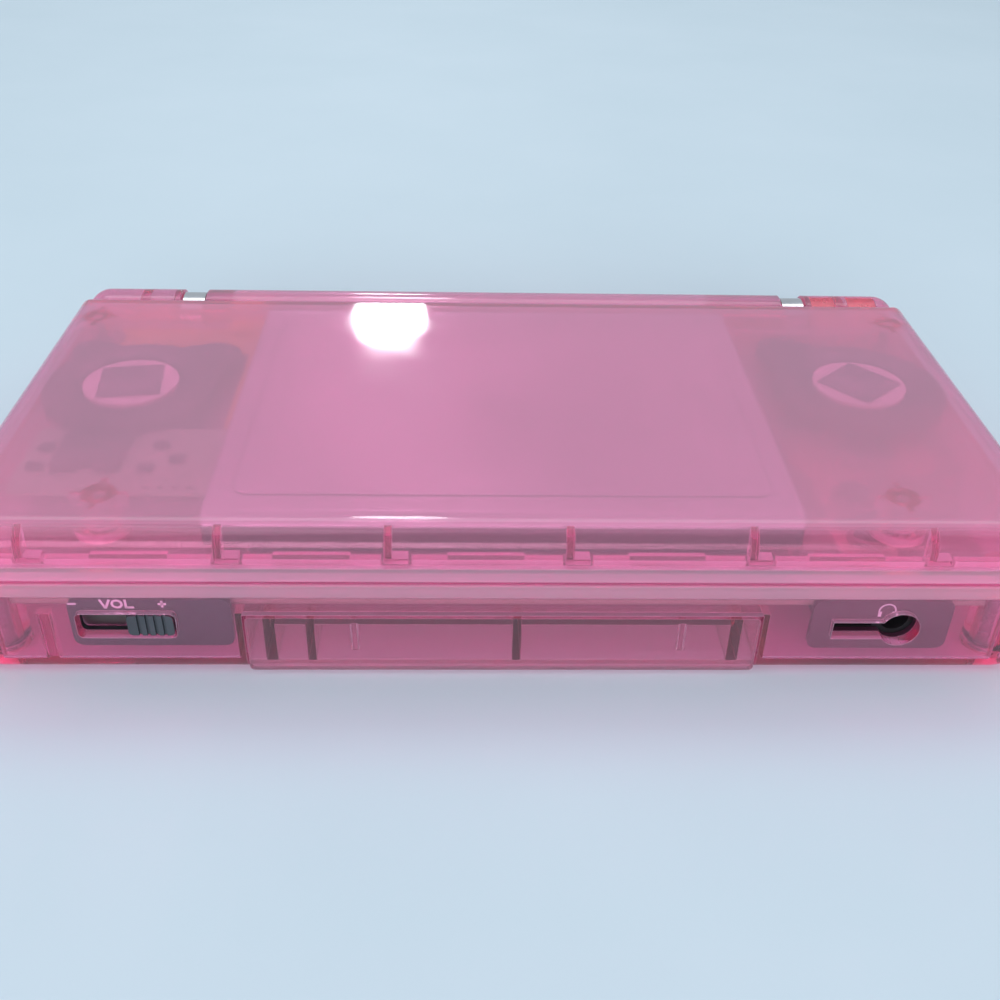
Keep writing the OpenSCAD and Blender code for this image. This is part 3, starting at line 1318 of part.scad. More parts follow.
lid_cover();
lid_bezel();
display_lens();
upper_display_frame();
upper_display_panel();
left_speaker();
right_speaker();
left_speaker_gasket();
right_speaker_gasket();
upper_flex_board();
upper_flex_chips();
display_ribbon();
microphone();
hinge_clutch();
lid_screws();
lid_screw_plugs();
bottom_case();
face_case();
battery_cover();
battery();
battery_screw();
main_board();
board_chips();
lower_display_frame();
lower_display_panel();
touch_panel();
dpad_membrane();
action_membrane();
card_slot_cage();
card_connector();
cartridge_connector();
headphone_socket();
jack_plate();
volume_plate();
volume_switch();
charge_socket();
power_switch();
wireless_module();
led_light_guides();
trigger_pins();
trigger_springs();
trigger_switches();
base_screws();
rubber_feet();
hinge_pin();
dpad_pivot();
dpad();
button_a();
button_b();
button_x();
button_y();
start_button();
select_button();
left_trigger();
right_trigger();
power_slider();
volume_knob();
stylus();
slot_cover();
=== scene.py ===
# %% [markdown]
# A pocket game console in clear pink shells lies closed on a pale table, seen from its front edge.
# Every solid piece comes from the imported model, so nothing is shaped twice. What is left for this
# script is what the eye needs: a finish for each piece, the small signs printed on two plates, the
# table, the camera and the lamps.

import math

import bpy
import numpy as np
from mathutils import Matrix, Vector


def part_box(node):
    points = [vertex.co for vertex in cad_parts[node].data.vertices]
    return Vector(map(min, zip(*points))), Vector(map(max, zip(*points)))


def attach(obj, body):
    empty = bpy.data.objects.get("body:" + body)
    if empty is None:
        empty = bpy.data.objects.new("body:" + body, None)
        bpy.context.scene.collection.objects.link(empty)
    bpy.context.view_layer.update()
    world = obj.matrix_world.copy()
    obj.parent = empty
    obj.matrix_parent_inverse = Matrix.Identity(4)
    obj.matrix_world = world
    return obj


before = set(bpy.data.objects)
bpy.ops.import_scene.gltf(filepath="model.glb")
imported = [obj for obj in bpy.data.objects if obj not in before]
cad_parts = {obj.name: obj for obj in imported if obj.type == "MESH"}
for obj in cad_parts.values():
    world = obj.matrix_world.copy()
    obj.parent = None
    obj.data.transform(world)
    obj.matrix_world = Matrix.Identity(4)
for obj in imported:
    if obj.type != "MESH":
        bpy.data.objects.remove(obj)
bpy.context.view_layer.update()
MM = 0.001


# %% [markdown]
# Colours are written as the hex values that a paint program shows, while Blender's shaders count in
# linear light. They could be typed in as linear numbers, but those can't be checked by eye, so one
# function turns the hex values.

# %% Colour
def linear(hex_colour):
    """
    An sRGB hex colour as linear red, green, blue and 1. Each channel c, from 0 to 1, becomes
    ((c + 0.055) / 1.055) to the power 2.4, or c / 12.92 where it is nearly black.
    """
    channels = [int(hex_colour[i:i + 2], 16) / 255 for i in (1, 3, 5)]
    return [c / 12.92 if c <= 0.04045 else ((c + 0.055) / 1.055) ** 2.4 for c in channels] + [1.0]


print("middle grey in linear light:", round(linear("#808080")[0], 3))


# %% [markdown]
# Every finish is a small graph of nodes. It could be drawn by hand in the shader editor, but written
# down it reads from top to bottom like a recipe. One helper adds a node, with its settings and its
# inputs. An input is a plain value, the output of an earlier node, or an earlier node itself, which
# then stands for its first output.

# %% Nodes
def new_material(name):
    """A material whose graph is still empty."""
    material = bpy.data.materials.new(name)
    material.use_nodes = True
    material.node_tree.nodes.clear()
    return material


def add(material, kind, inputs=None, stops=(), **settings):
    """
    Adds a node of this kind with its settings, gives each input a value or a link, and sets a
    colour ramp's stops, each a place from 0 to 1 and a hex colour.
    """
    tree = material.node_tree
    node = tree.nodes.new("ShaderNode" + kind)
    for name, value in settings.items():
        setattr(node, name, value)
    for name, value in (inputs or {}).items():
        if isinstance(value, bpy.types.Node):
            value = value.outputs[0]
        if isinstance(value, bpy.types.NodeSocket):
            tree.links.new(value, node.inputs[name])
        else:
            node.inputs[name].default_value = value
    for i, (place, colour) in enumerate(stops):
        elements = node.color_ramp.elements
        stop = elements[i] if i < len(elements) else elements.new(place)
        stop.position, stop.color = place, linear(colour)
    return node


# %% [markdown]
# Clear plastic is never quite clear. It is faintly milky, most of all on panels whose inner side is
# finely etched, and light that is led along inside a wall leaves at its edges, so the edges glow. A
# second, milky shell inside each wall would double the work. Instead each point of a surface gets a
# milky share, worked out from the way its face points and from how near it is to an edge.

# %% The milky share
# Upward part of a face's normal where it starts to count as level and where it is fully so
LEVEL_START, LEVEL_FULL = 0.75, 1.0
# Cosines between a face's own normal and the rounded one where the glow starts and is full
GLOW_START, GLOW_FULL = 0.98, 0.8


def milky_share(material, rounded, haze_upright, haze_level, edge_glow):
    """
    The larger of two shares. The haze goes from haze_upright on upright walls to haze_level on
    level panels. The glow goes from 0 to edge_glow as the rounded normal leaves the face's own.
    """
    facing = add(material, "NewGeometry").outputs["True Normal"]
    upward = add(material, "SeparateXYZ", {"Vector": facing}).outputs["Z"]
    level = add(material, "Math", {0: upward}, operation="ABSOLUTE")
    haze = add(material, "MapRange", {
        "Value": level, "From Min": LEVEL_START, "From Max": LEVEL_FULL,
        "To Min": haze_upright, "To Max": haze_level})
    agreement = add(material, "VectorMath", {0: rounded, 1: facing}, operation="DOT_PRODUCT")
    glow = add(material, "MapRange", {
        "Value": agreement.outputs["Value"], "From Min": GLOW_START, "From Max": GLOW_FULL,
        "To Min": 0.0, "To Max": edge_glow})
    return add(material, "Math", {0: haze, 1: glow}, operation="MAXIMUM")


# %% [markdown]
# The shells are polycarbonate, dyed pink and moulded in a polished steel tool. Each face of a wall
# bends and mirrors light, and the dye drinks green and some blue on the way through. A pink glass
# shader would be the quick way, but it tints thick and thin walls alike. With the dye in the volume,
# a wall seen edge-on turns hot pink by itself and a thin one stays pale.
#
# Shadow rays pass as through a window pane and only the dye tints them, because otherwise the lamps
# would hardly reach the boards inside.

# %% Clear plastic
# Most values of a noise lie between the first two, and each finer layer has this share of the last
NOISE_LOW, NOISE_HIGH, NOISE_FADE = 0.3, 0.7, 0.55
# Wiping leaves scuffs in patches of a few mm, and the melt's flow leaves wider, shallow waves. A
# Mapping node moves each noise to a place of its own, so that no two show the same pattern.
SCUFF_MM, FLOW_MM, FLOW_DEPTH_MM, FLOW_SHIFT = 6.0, 14.0, 0.03, 3.0
EDGE_SAMPLES = 4
POLYCARBONATE_IOR = 1.585


def clear_plastic(name, dye, dye_density, haze_upright, haze_level, milk="#F7DAF0",
                  rough=(0.03, 0.08), edge_mm=0.2, edge_glow=0.65, seed=0.0):
    """
    Dyed clear plastic. After s metres inside, a channel whose dye value is c keeps
    exp(-dye_density (1 - c) s) of its light. The milky part throws half of its light back and lets
    half through, and the rest of the surface is clear.
    """
    material = new_material(name)
    on_piece = add(material, "TexCoord").outputs["Object"]
    scuffs_at = add(material, "Mapping", {"Vector": on_piece, "Location": (seed,) * 3})
    scuffs = add(material, "TexNoise", {
        "Vector": scuffs_at, "Scale": 1 / (SCUFF_MM * MM), "Detail": 4.0, "Roughness": NOISE_FADE})
    roughness = add(material, "MapRange", {
        "Value": scuffs, "From Min": NOISE_LOW, "From Max": NOISE_HIGH,
        "To Min": rough[0], "To Max": rough[1]})
    flow_at = add(material, "Mapping", {"Vector": on_piece, "Location": (seed + FLOW_SHIFT,) * 3})
    flow = add(material, "TexNoise", {
        "Vector": flow_at, "Scale": 1 / (FLOW_MM * MM), "Detail": 1.0, "Roughness": NOISE_FADE})
    rounded = add(material, "Bevel", {"Radius": edge_mm * MM}, samples=EDGE_SAMPLES)
    normal = add(material, "Bump", {
        "Height": flow, "Strength": 1.0, "Distance": FLOW_DEPTH_MM * MM, "Normal": rounded})

    clear = add(material, "BsdfPrincipled", {
        "Base Color": linear("#FFFDFE"), "IOR": POLYCARBONATE_IOR, "Transmission Weight": 1.0,
        "Roughness": roughness, "Normal": normal})
    back = add(material, "BsdfDiffuse", {"Color": linear(milk), "Normal": normal})
    through = add(material, "BsdfTranslucent", {"Color": linear(milk), "Normal": normal})
    milky = add(material, "MixShader", {0: 0.5, 1: back, 2: through})
    share = milky_share(material, rounded, haze_upright, haze_level, edge_glow)
    wall = add(material, "MixShader", {0: share, 1: clear, 2: milky})
    pane = add(material, "BsdfTransparent", {"Color": linear("#FBF6F9")})
    shadow_ray = add(material, "LightPath").outputs["Is Shadow Ray"]
    surface = add(material, "MixShader", {0: shadow_ray, 1: wall, 2: pane})
    volume = add(material, "VolumeAbsorption", {"Color": linear(dye), "Density": dye_density})
    add(material, "OutputMaterial", {"Surface": surface, "Volume": volume})
    return material


# %% [markdown]
# Five pieces are moulded in pink. They differ in how much dye they hold and in how milky they are.
# The lid's panel is etched inside, so it veils the parts under it, while its walls stay clear. The
# bezel and the button plate are the other way round: milky walls make the pale bands between lid
# and base. The slot's spare cover has less dye and a greyer milk, so it looks thinner and cooler.

# %% Shells
PINK_DYE = "#FD00B9"
LID_DYE_DENSITY = 340.0
WALL_MM = 2.0


def wear(material, *names):
    """Gives a finish to pieces of the model, in every material slot that they have."""
    for name in names:
        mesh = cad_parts[name].data
        if not mesh.materials:
            mesh.materials.append(material)
        for i in range(len(mesh.materials)):
            mesh.materials[i] = material
    print(material.name, "is on", ", ".join(names))


wear(clear_plastic("moulded_clear_pink_polycarbonate_lid", PINK_DYE, LID_DYE_DENSITY,
                   haze_upright=0.1, haze_level=0.42), "lid_cover")
wear(clear_plastic("moulded_clear_pink_polycarbonate_case", PINK_DYE, dye_density=320.0,
                   haze_upright=0.07, haze_level=0.3, seed=2.0), "bottom_case", "battery_cover")
wear(clear_plastic("moulded_clear_pink_polycarbonate_bezel", PINK_DYE, dye_density=330.0,
                   haze_upright=0.38, haze_level=0.1, seed=9.0), "lid_bezel")
wear(clear_plastic("moulded_clear_pink_polycarbonate_face", PINK_DYE, dye_density=320.0,
                   haze_upright=0.4, haze_level=0.2, seed=12.0), "face_case")
wear(clear_plastic("moulded_clear_pink_polycarbonate_slot_cover", "#FC00A8", dye_density=210.0,
                   haze_upright=0.12, haze_level=0.2, milk="#D4B4C8", seed=5.0), "slot_cover")
kept = [math.exp(-LID_DYE_DENSITY * (1 - c) * WALL_MM * MM) for c in linear(PINK_DYE)[:3]]
print("a wall of", WALL_MM, "mm keeps of red, green and blue:", [round(k, 2) for k in kept])

# %% [markdown]
# Two more clear pieces use the same recipe. The lamps' light guides are frosted, so that the whole
# window lights up and no lamp shows as a point. The display's window and the touch panel are
# polished acrylic with next to no dye, and the eye finds them only by their edges and reflections.

# %% Light guides and windows
wear(clear_plastic("frosted_red_acrylic_light_guide", "#FF3060", dye_density=300.0,
                   haze_upright=0.3, haze_level=0.3, milk="#F09AAE", rough=(0.2, 0.35)),
     "led_light_guides")
wear(clear_plastic("polished_clear_acrylic_window", "#F0F4F6", dye_density=20.0,
                   haze_upright=0.02, haze_level=0.02, milk="#E8ECEE"),
     "display_lens", "touch_panel")


# %% [markdown]
# Everything opaque needs the same three things: a colour that drifts a little between two shades, a
# gloss that drifts with it, and a fine grain from the tool, the roller or the plating bath. They
# could be painted as images, but a noise fixed to the piece needs no picture and never repeats. A
# real grain of a few hundredths of a millimetre wouldn't show, so it is drawn about 0.3 mm wide.

# %% Opaque finishes
def opaque(name, dark, light, rough=(0.35, 0.5), metal=0.0, patch_mm=5.0, grain_mm=0.3,
           grain_depth_mm=0.01):
    """
    An opaque finish. Colour and roughness both follow one noise with patches patch_mm wide: each
    goes from its first value to its second while the noise goes from NOISE_LOW to NOISE_HIGH. A
    second noise, grain_mm wide, lifts the surface by up to grain_depth_mm.
    """
    material = new_material(name)
    on_piece = add(material, "TexCoord").outputs["Object"]
    patches = add(material, "TexNoise", {
        "Vector": on_piece, "Scale": 1 / (patch_mm * MM), "Detail": 3.0, "Roughness": NOISE_FADE})
    colour = add(material, "ValToRGB", {"Fac": patches},
                 stops=[(NOISE_LOW, dark), (NOISE_HIGH, light)])
    roughness = add(material, "MapRange", {
        "Value": patches, "From Min": NOISE_LOW, "From Max": NOISE_HIGH,
        "To Min": rough[0], "To Max": rough[1]})
    grain_at = add(material, "Mapping", {"Vector": on_piece, "Location": (1.0, 1.0, 1.0)})
    grain = add(material, "TexNoise", {
        "Vector": grain_at, "Scale": 1 / (grain_mm * MM), "Detail": 2.0, "Roughness": NOISE_FADE})
    normal = add(material, "Bump", {
        "Height": grain, "Strength": 1.0, "Distance": grain_depth_mm * MM})
    body = add(material, "BsdfPrincipled", {
        "Base Color": colour, "Metallic": metal, "Roughness": roughness, "Normal": normal})
    add(material, "OutputMaterial", {"Surface": body})
    return material


# %% [markdown]
# Rubber, foam and silicone hardly shine, and that alone tells them from the hard plastic beside
# them. The screws' plugs and the feet are dyed to go with the shells.

# %% Soft pieces
# Moulded silicone: matt, with soft wide highlights
wear(opaque("moulded_pink_silicone", "#C4708F", "#D0809C", rough=(0.4, 0.55)),
     "lid_screw_plugs", "rubber_feet")
wear(opaque("moulded_white_silicone", "#D8D4D0", "#E2DEDA", rough=(0.5, 0.6)),
     "dpad_membrane", "action_membrane")
# Cut foam: open cells swallow light, so it is the dullest thing in the lid
wear(opaque("cut_dark_foam_rubber", "#3C3038", "#4A3E48", rough=(0.7, 0.85), grain_mm=0.2,
            grain_depth_mm=0.03), "left_speaker_gasket", "right_speaker_gasket")

# %% [markdown]
# Glass, films and chips are flat and thin, and their colour does most of the work. The flexible
# board's grey-green lacquer and the hinge ribbon's amber show through the pink lid as cool and warm
# patches.

# %% Glass, films and chips
# Polished glass over dark layers: nearly black, with mirror-sharp reflections
wear(opaque("polished_display_glass", "#141418", "#1A1A20", rough=(0.06, 0.1), patch_mm=20.0),
     "upper_display_panel", "lower_display_panel")
# Lacquered film: satin, a little cloudy
wear(opaque("lacquered_flex_board_film", "#8C9C8A", "#9CA998", patch_mm=3.0), "upper_flex_board")
# Cast polyimide: smooth enough for a clear streak of light
wear(opaque("cast_amber_polyimide_film", "#CC8040", "#DE9650", rough=(0.25, 0.35), patch_mm=4.0),
     "display_ribbon")
# Printed shrink film round the cell: an even, slightly shiny grey
wear(opaque("shrunk_grey_battery_film", "#9A9CA2", "#A6A8AE", rough=(0.3, 0.4)), "battery")
# Moulded epoxy: black and dull, as its filler leaves it
wear(opaque("moulded_black_epoxy_chips", "#1C1A1E", "#262428", rough=(0.45, 0.6)),
     "upper_flex_chips", "board_chips")

# %% [markdown]
# A metal shows what stands round it, so its gloss counts for more than its colour. Stamped cans are
# blurred mirrors, while the plated hinge parts flash white between the lid and its knuckles.

# %% Metals
# Stamped sheet with hot-dipped tin: pale, with a soft sheen
wear(opaque("stamped_tinned_steel", "#B8B8B8", "#C6C6C6", rough=(0.28, 0.4), metal=0.9),
     "microphone", "trigger_switches", "volume_switch", "power_switch", "card_slot_cage",
     "wireless_module")
# Turned and nickel-plated: the brightest metal here
wear(opaque("turned_nickel_plated_steel", "#D6D4D8", "#E2E0E4", rough=(0.12, 0.2), metal=1.0),
     "hinge_clutch", "hinge_pin")
# Zinc-plated wire and screws: greyer, with small sharp glints
wear(opaque("zinc_plated_screw_steel", "#8E8E92", "#A0A0A4", rough=(0.2, 0.3), metal=1.0,
            patch_mm=2.0), "lid_screws", "base_screws", "battery_screw", "trigger_pins",
     "trigger_springs")

# %% [markdown]
# The hard plastics are all moulded, and the tool decides their gloss: eroded tools give a satin
# face, polished ones a shine. The two plates in the front wall lie behind clear pink plastic, so
# their colours are chosen to look right through it.

# %% Hard plastics
# Glass-filled nylon: black, with a dry look
wear(opaque("moulded_black_nylon", "#151517", "#1E1E21", rough=(0.4, 0.55)),
     "card_connector", "cartridge_connector", "headphone_socket", "charge_socket")
# ABS from an eroded tool: satin, so the slots in the plates read as darker holes
wear(opaque("satin_blue_black_abs", "#14181E", "#1C2228"), "volume_plate")
wear(opaque("satin_plum_abs", "#3A2230", "#44293A"), "jack_plate")
# ABS keys: satin that thumbs have begun to polish
wear(opaque("worn_satin_black_abs", "#141416", "#1C1C1F", rough=(0.25, 0.35)), "dpad",
     "dpad_pivot", "button_a", "button_b", "button_x", "button_y", "start_button", "select_button")
wear(opaque("moulded_black_abs_stylus", "#17171A", "#202024", rough=(0.25, 0.35)), "stylus")
# ABS from a polished tool: the glossiest of the keys
wear(opaque("polished_black_abs", "#141416", "#1C1C1F", rough=(0.15, 0.25)),
     "left_trigger", "right_trigger")
# Textured ABS: matt, so that its ribs show by their shadows
wear(opaque("textured_dark_grey_abs", "#34383E", "#3E4249", rough=(0.4, 0.55)),
     "volume_knob", "power_slider")


# %% [markdown]
# Some pieces change their colour at an edge though they are one solid. A circuit board has green
# lacquer on its faces but raw glass fibre at its cut edge. A display module gets bright aluminium
# where it faces up and a dark painted shade on its sides and underside. They could be split in two,
# but the way a face points already says which colour it shows, so one finish asks for that.

# %% Sheets and boards
# Upward part of the normal where the face's finish starts and where it is full
FACE_START, FACE_FULL = 0.25, 0.45
FOLD_MM, CLOUD_MM, FINE_MM, FINE_DEPTH_MM = 0.6, 20.0, 0.5, 0.004
SIDE_ROUGH = (0.4, 0.55)


def faced(name, face, side, metal, rough, both_faces):
    """
    One finish where a piece faces up, and down as well with both_faces, and another on its sides.
    The face's share goes from 0 to 1 while the normal's upward part goes from FACE_START to
    FACE_FULL, and the face's colour drifts between its two shades in clouds CLOUD_MM wide.
    """
    material = new_material(name)
    facing = add(material, "NewGeometry").outputs["True Normal"]
    upward = add(material, "SeparateXYZ", {"Vector": facing}).outputs["Z"]
    if both_faces:
        upward = add(material, "Math", {0: upward}, operation="ABSOLUTE")
    face_share = add(material, "MapRange", {
        "Value": upward, "From Min": FACE_START, "From Max": FACE_FULL})

    on_piece = add(material, "TexCoord").outputs["Object"]
    clouds_at = add(material, "Mapping", {"Vector": on_piece, "Location": (2.0, 2.0, 2.0)})
    clouds = add(material, "TexNoise", {
        "Vector": clouds_at, "Scale": 1 / (CLOUD_MM * MM), "Detail": 3.0, "Roughness": NOISE_FADE})
    colour = add(material, "ValToRGB", {"Fac": clouds},
                 stops=[(NOISE_LOW, face[0]), (NOISE_HIGH, face[1])])
    face_rough = add(material, "MapRange", {
        "Value": clouds, "From Min": NOISE_LOW, "From Max": NOISE_HIGH,
        "To Min": rough[0], "To Max": rough[1]})
    fine_at = add(material, "Mapping", {"Vector": on_piece, "Location": (4.0, 4.0, 4.0)})
    fine = add(material, "TexNoise", {
        "Vector": fine_at, "Scale": 1 / (FINE_MM * MM), "Detail": 2.0, "Roughness": NOISE_FADE})
    side_rough = add(material, "MapRange", {
        "Value": fine, "From Min": NOISE_LOW, "From Max": NOISE_HIGH,
        "To Min": SIDE_ROUGH[0], "To Max": SIDE_ROUGH[1]})
    folded = add(material, "Bevel", {"Radius": FOLD_MM * MM}, samples=EDGE_SAMPLES)
    normal = add(material, "Bump", {
        "Height": fine, "Strength": 1.0, "Distance": FINE_DEPTH_MM * MM, "Normal": folded})

    face_body = add(material, "BsdfPrincipled", {
        "Base Color": colour, "Metallic": metal, "Roughness": face_rough, "Normal": normal})
    side_body = add(material, "BsdfPrincipled", {
        "Base Color": linear(side), "Roughness": side_rough, "Normal": normal})
    body = add(material, "MixShader", {0: face_share, 1: side_body, 2: face_body})
    add(material, "OutputMaterial", {"Surface": body})
    return material


# Rolled aluminium: pale metal where the module faces up, and a dark painted shade on its sides and
# underside
wear(faced("rolled_aluminium_with_painted_shade_sides", ("#C8C0CE", "#D4CCDA"), "#40363E", metal=0.6,
           rough=(0.22, 0.3), both_faces=False), "upper_display_frame", "lower_display_frame")
# Lacquered glass fibre: glossy green with a dull, pale-brown edge
wear(faced("green_lacquered_glass_fibre", ("#1D5A40", "#246B4C"), "#857A74", metal=0.0,
           rough=(0.25, 0.4), both_faces=True), "main_board")


# %% [markdown]
# A speaker is one solid in layers: a black basket, a bright plated ring and a square ferrite magnet
# on top. Through the lid the eye reads it as a pale ring with a dark square in it. As the layers
# lie one above the other, the height alone can pick the colour.

# %% Speakers
BASKET_TOP_MM, RING_TOP_MM = 0.62, 2.27
SPEAKER_GRAIN_MM, SPEAKER_GRAIN_DEPTH_MM = 0.4, 0.008
SPEAKER_ROUGH = (0.35, 0.45)


def speaker_layers(foot_mm):
    """
    Metal whose colour steps with the height z: one step up at BASKET_TOP_MM and one at RING_TOP_MM
    over the foot. Half of the number of steps, so 0, 0.5 or 1, picks the colour on a stepped ramp.
    """
    material = new_material("speaker_black_basket_plated_ring_ferrite_magnet")
    on_piece = add(material, "TexCoord").outputs["Object"]
    height = add(material, "SeparateXYZ", {"Vector": on_piece}).outputs["Z"]
    over_basket = add(material, "Math", {0: height, 1: (foot_mm + BASKET_TOP_MM) * MM},
                      operation="GREATER_THAN")
    over_ring = add(material, "Math", {0: height, 1: (foot_mm + RING_TOP_MM) * MM},
                    operation="GREATER_THAN")
    steps = add(material, "Math", {0: over_basket, 1: over_ring}, operation="ADD")
    layer = add(material, "Math", {0: steps, 1: 0.5}, operation="MULTIPLY")
    colour = add(material, "ValToRGB", {"Fac": layer},
                 stops=[(0.0, "#1A181C"), (0.25, "#F2ECF2"), (0.75, "#5E5064")])
    colour.color_ramp.interpolation = "CONSTANT"
    grain_at = add(material, "Mapping", {"Vector": on_piece, "Location": (7.0, 7.0, 7.0)})
    grain = add(material, "TexNoise", {
        "Vector": grain_at, "Scale": 1 / (SPEAKER_GRAIN_MM * MM), "Detail": 2.0,
        "Roughness": NOISE_FADE})
    roughness = add(material, "MapRange", {
        "Value": grain, "From Min": NOISE_LOW, "From Max": NOISE_HIGH,
        "To Min": SPEAKER_ROUGH[0], "To Max": SPEAKER_ROUGH[1]})
    normal = add(material, "Bump", {
        "Height": grain, "Strength": 1.0, "Distance": SPEAKER_GRAIN_DEPTH_MM * MM})
    body = add(material, "BsdfPrincipled", {
        "Base Color": colour, "Metallic": 0.4, "Roughness": roughness, "Normal": normal})
    add(material, "OutputMaterial", {"Surface": body})
    return material


wear(speaker_layers(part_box("left_speaker")[0].z / MM), "left_speaker", "right_speaker")


# %% [markdown]
# The dark plates in the front wall carry small printed signs. An image on the plate would do, but
# strokes stay sharp at any distance and need no picture file. Each stroke is a flat strip that
# follows a line or an arc in the plate's plane.

# %% Strokes
def arc(centre, radius_x, radius_z, start, stop, steps=24):
    """Points (x + radius_x cos t, z + radius_z sin t) in mm, for t from start to stop in degrees."""
    turn = np.radians(np.linspace(start, stop, steps))
    return np.stack([centre[0] + radius_x * np.cos(turn), centre[1] + radius_z * np.sin(turn)],
                    axis=1)


def strip(path, width):
    """
    A flat strip along a path of points p = (x, z) in mm. With n the unit vector square to the path
    at p, its edges lie at p - n width / 2 and p + n width / 2. Returns the corners and the faces.
    """
    path = np.array(path, float)
    along = np.gradient(path, axis=0)
    along /= np.linalg.norm(along, axis=1, keepdims=True)
    square = np.stack([-along[:, 1], along[:, 0]], axis=1) * width / 2
    corners = np.stack([path - square, path + square], axis=1).reshape(-1, 2)
    first = 2 * np.arange(len(path) - 1)
    return corners, np.stack([first, first + 2, first + 3, first + 1], axis=1)


# %% [markdown]
# The signs are screen-printed: the ink is pushed through a mesh and dries as a flat, matt film, pale
# grey on the dark plates. As a decal on the plate's own mesh the strokes would have to be cut into
# it. Here each sign is one thin mesh, a hair in front of the plate, so that nothing flickers.

# %% Signs
SIGN_LIFT_MM = 0.02
STROKE_W = 0.3
print_ink = opaque("screen_printed_pale_grey_ink", "#BCCBD0", "#C6D4D8", rough=(0.45, 0.55),
                   patch_mm=1.0)


def sign(name, plate, strokes):
    """
    A printed sign of (path, width) strokes: their strips side by side in one mesh, with
    y = the plate's front face - SIGN_LIFT_MM everywhere.
    """
    corners, faces = zip(*[strip(path, width) for path, width in strokes])
    starts = np.cumsum([0] + [len(points) for points in corners[:-1]])
    faces = np.concatenate([quads + start for quads, start in zip(faces, starts)])
    x, z = np.concatenate(corners).T
    y = np.full(len(x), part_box(plate)[0].y / MM - SIGN_LIFT_MM)
    mesh = bpy.data.meshes.new(name)
    mesh.from_pydata((np.stack([x, y, z], axis=1) * MM).tolist(), [], faces.tolist())
    mesh.materials.append(print_ink)
    piece = bpy.data.objects.new(name, mesh)
    bpy.context.scene.collection.objects.link(piece)
    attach(piece, "base")
    print(name, "has", len(faces), "faces")


# %% [markdown]
# Over the volume slot stand three capital letters, and a minus and a plus at its ends. The letters
# are 1.35 mm high, as such prints are. Two lines make the first letter, a full oval the second, and
# a stem with a foot the third.

# %% Volume signs
SIGN_X, SIGN_Z, CAP_H = -46.0, 10.35, 1.35
LETTER_W, LETTER_STEP = 1.15, 1.4
STEM_IN, FOOT_IN = 0.2, 0.1
low, high = SIGN_Z - CAP_H / 2, SIGN_Z + CAP_H / 2
foot_z = low + STROKE_W / 2
first_x, second_x, third_x = (SIGN_X + step * LETTER_STEP for step in (-1, 0, 1))
third_left = third_x - LETTER_W / 2
sign("volume_word", "volume_plate", [
    ([(first_x - LETTER_W / 2, high), (first_x, low)], STROKE_W),
    ([(first_x, low), (first_x + LETTER_W / 2, high)], STROKE_W),
    (arc((second_x, SIGN_Z), LETTER_W / 2, CAP_H / 2 - STROKE_W / 2, 0, 360), STROKE_W),
    ([(third_left + STEM_IN, high), (third_left + STEM_IN, low)], STROKE_W),
    ([(third_left + FOOT_IN, foot_z), (third_x + LETTER_W / 2, foot_z)], STROKE_W)])

MINUS_X, PLUS_X, MARK_W = -51.3, -40.7, 1.0
sign("volume_marks", "volume_plate", [
    ([(MINUS_X - MARK_W / 2, SIGN_Z), (MINUS_X + MARK_W / 2, SIGN_Z)], STROKE_W),
    ([(PLUS_X - MARK_W / 2, SIGN_Z), (PLUS_X + MARK_W / 2, SIGN_Z)], STROKE_W),
    ([(PLUS_X, SIGN_Z - MARK_W / 2), (PLUS_X, SIGN_Z + MARK_W / 2)], STROKE_W)])

# %% [markdown]
# Headphones are drawn as everyone knows them: a thin band over the top, a little more than half a
# circle, with a thick cup at each end.

# %% Headphone sign
PHONES_X, PHONES_Z = 46.5, 9.55
BAND_R, BAND_W, BAND_START, BAND_STOP = 1.0, 0.2, 200, -20
CUP_IN, CUP_TOP, CUP_FOOT, CUP_W = 0.15, 0.1, 0.9, 0.42
cup_places = [PHONES_X + side * (BAND_R - CUP_IN) for side in (-1, 1)]
sign("headphone_mark", "jack_plate", [
    (arc((PHONES_X, PHONES_Z), BAND_R, BAND_R, BAND_START, BAND_STOP), BAND_W),
    *[([(x, PHONES_Z - CUP_TOP), (x, PHONES_Z - CUP_FOOT)], CUP_W) for x in cup_places]])


# %% [markdown]
# The table is a painted board, rolled on in a pale blue-grey. One flat face is enough, because the
# paint is even: it drifts by a shade over a hand's width and only scatters light, so the console's
# shadow and its pink glow lie on it softly. It is part of the stage, not of the object.

# %% Table
TABLE_HALF = 3.0
TABLE_PATCH_MM, TABLE_ROUGH, TABLE_SHEEN = 60.0, 0.6, 0.3
corners = TABLE_HALF * np.array([[-1, -1, 0], [1, -1, 0], [1, 1, 0], [-1, 1, 0]])
table_mesh = bpy.data.meshes.new("table")
table_mesh.from_pydata(corners.tolist(), [], [(0, 1, 2, 3)])
table = bpy.data.objects.new("table", table_mesh)
bpy.context.scene.collection.objects.link(table)
paint = new_material("rolled_pale_blue_grey_paint")
paint_drift = add(paint, "TexNoise", {
    "Vector": add(paint, "TexCoord").outputs["Object"], "Scale": 1 / (TABLE_PATCH_MM * MM),
    "Detail": 4.0, "Roughness": NOISE_FADE})
paint_colour = add(paint, "ValToRGB", {"Fac": paint_drift},
                   stops=[(NOISE_LOW, "#C9D9E3"), (NOISE_HIGH, "#CDDCE6")])
paint_body = add(paint, "BsdfPrincipled", {
    "Base Color": paint_colour, "Roughness": TABLE_ROUGH, "Specular IOR Level": TABLE_SHEEN})
add(paint, "OutputMaterial", {"Surface": paint_body})
table_mesh.materials.append(paint)
print("table side in m:", 2 * TABLE_HALF)


# %% [markdown]
# The camera could be placed by eye, but the console's own corners say where it stood. Their real
# size is known, so the place, the turn and the lens were fitted until they fell on the corners in
# the photograph: 141 mm in front of the middle, 97 mm up, looking 34 degrees down.

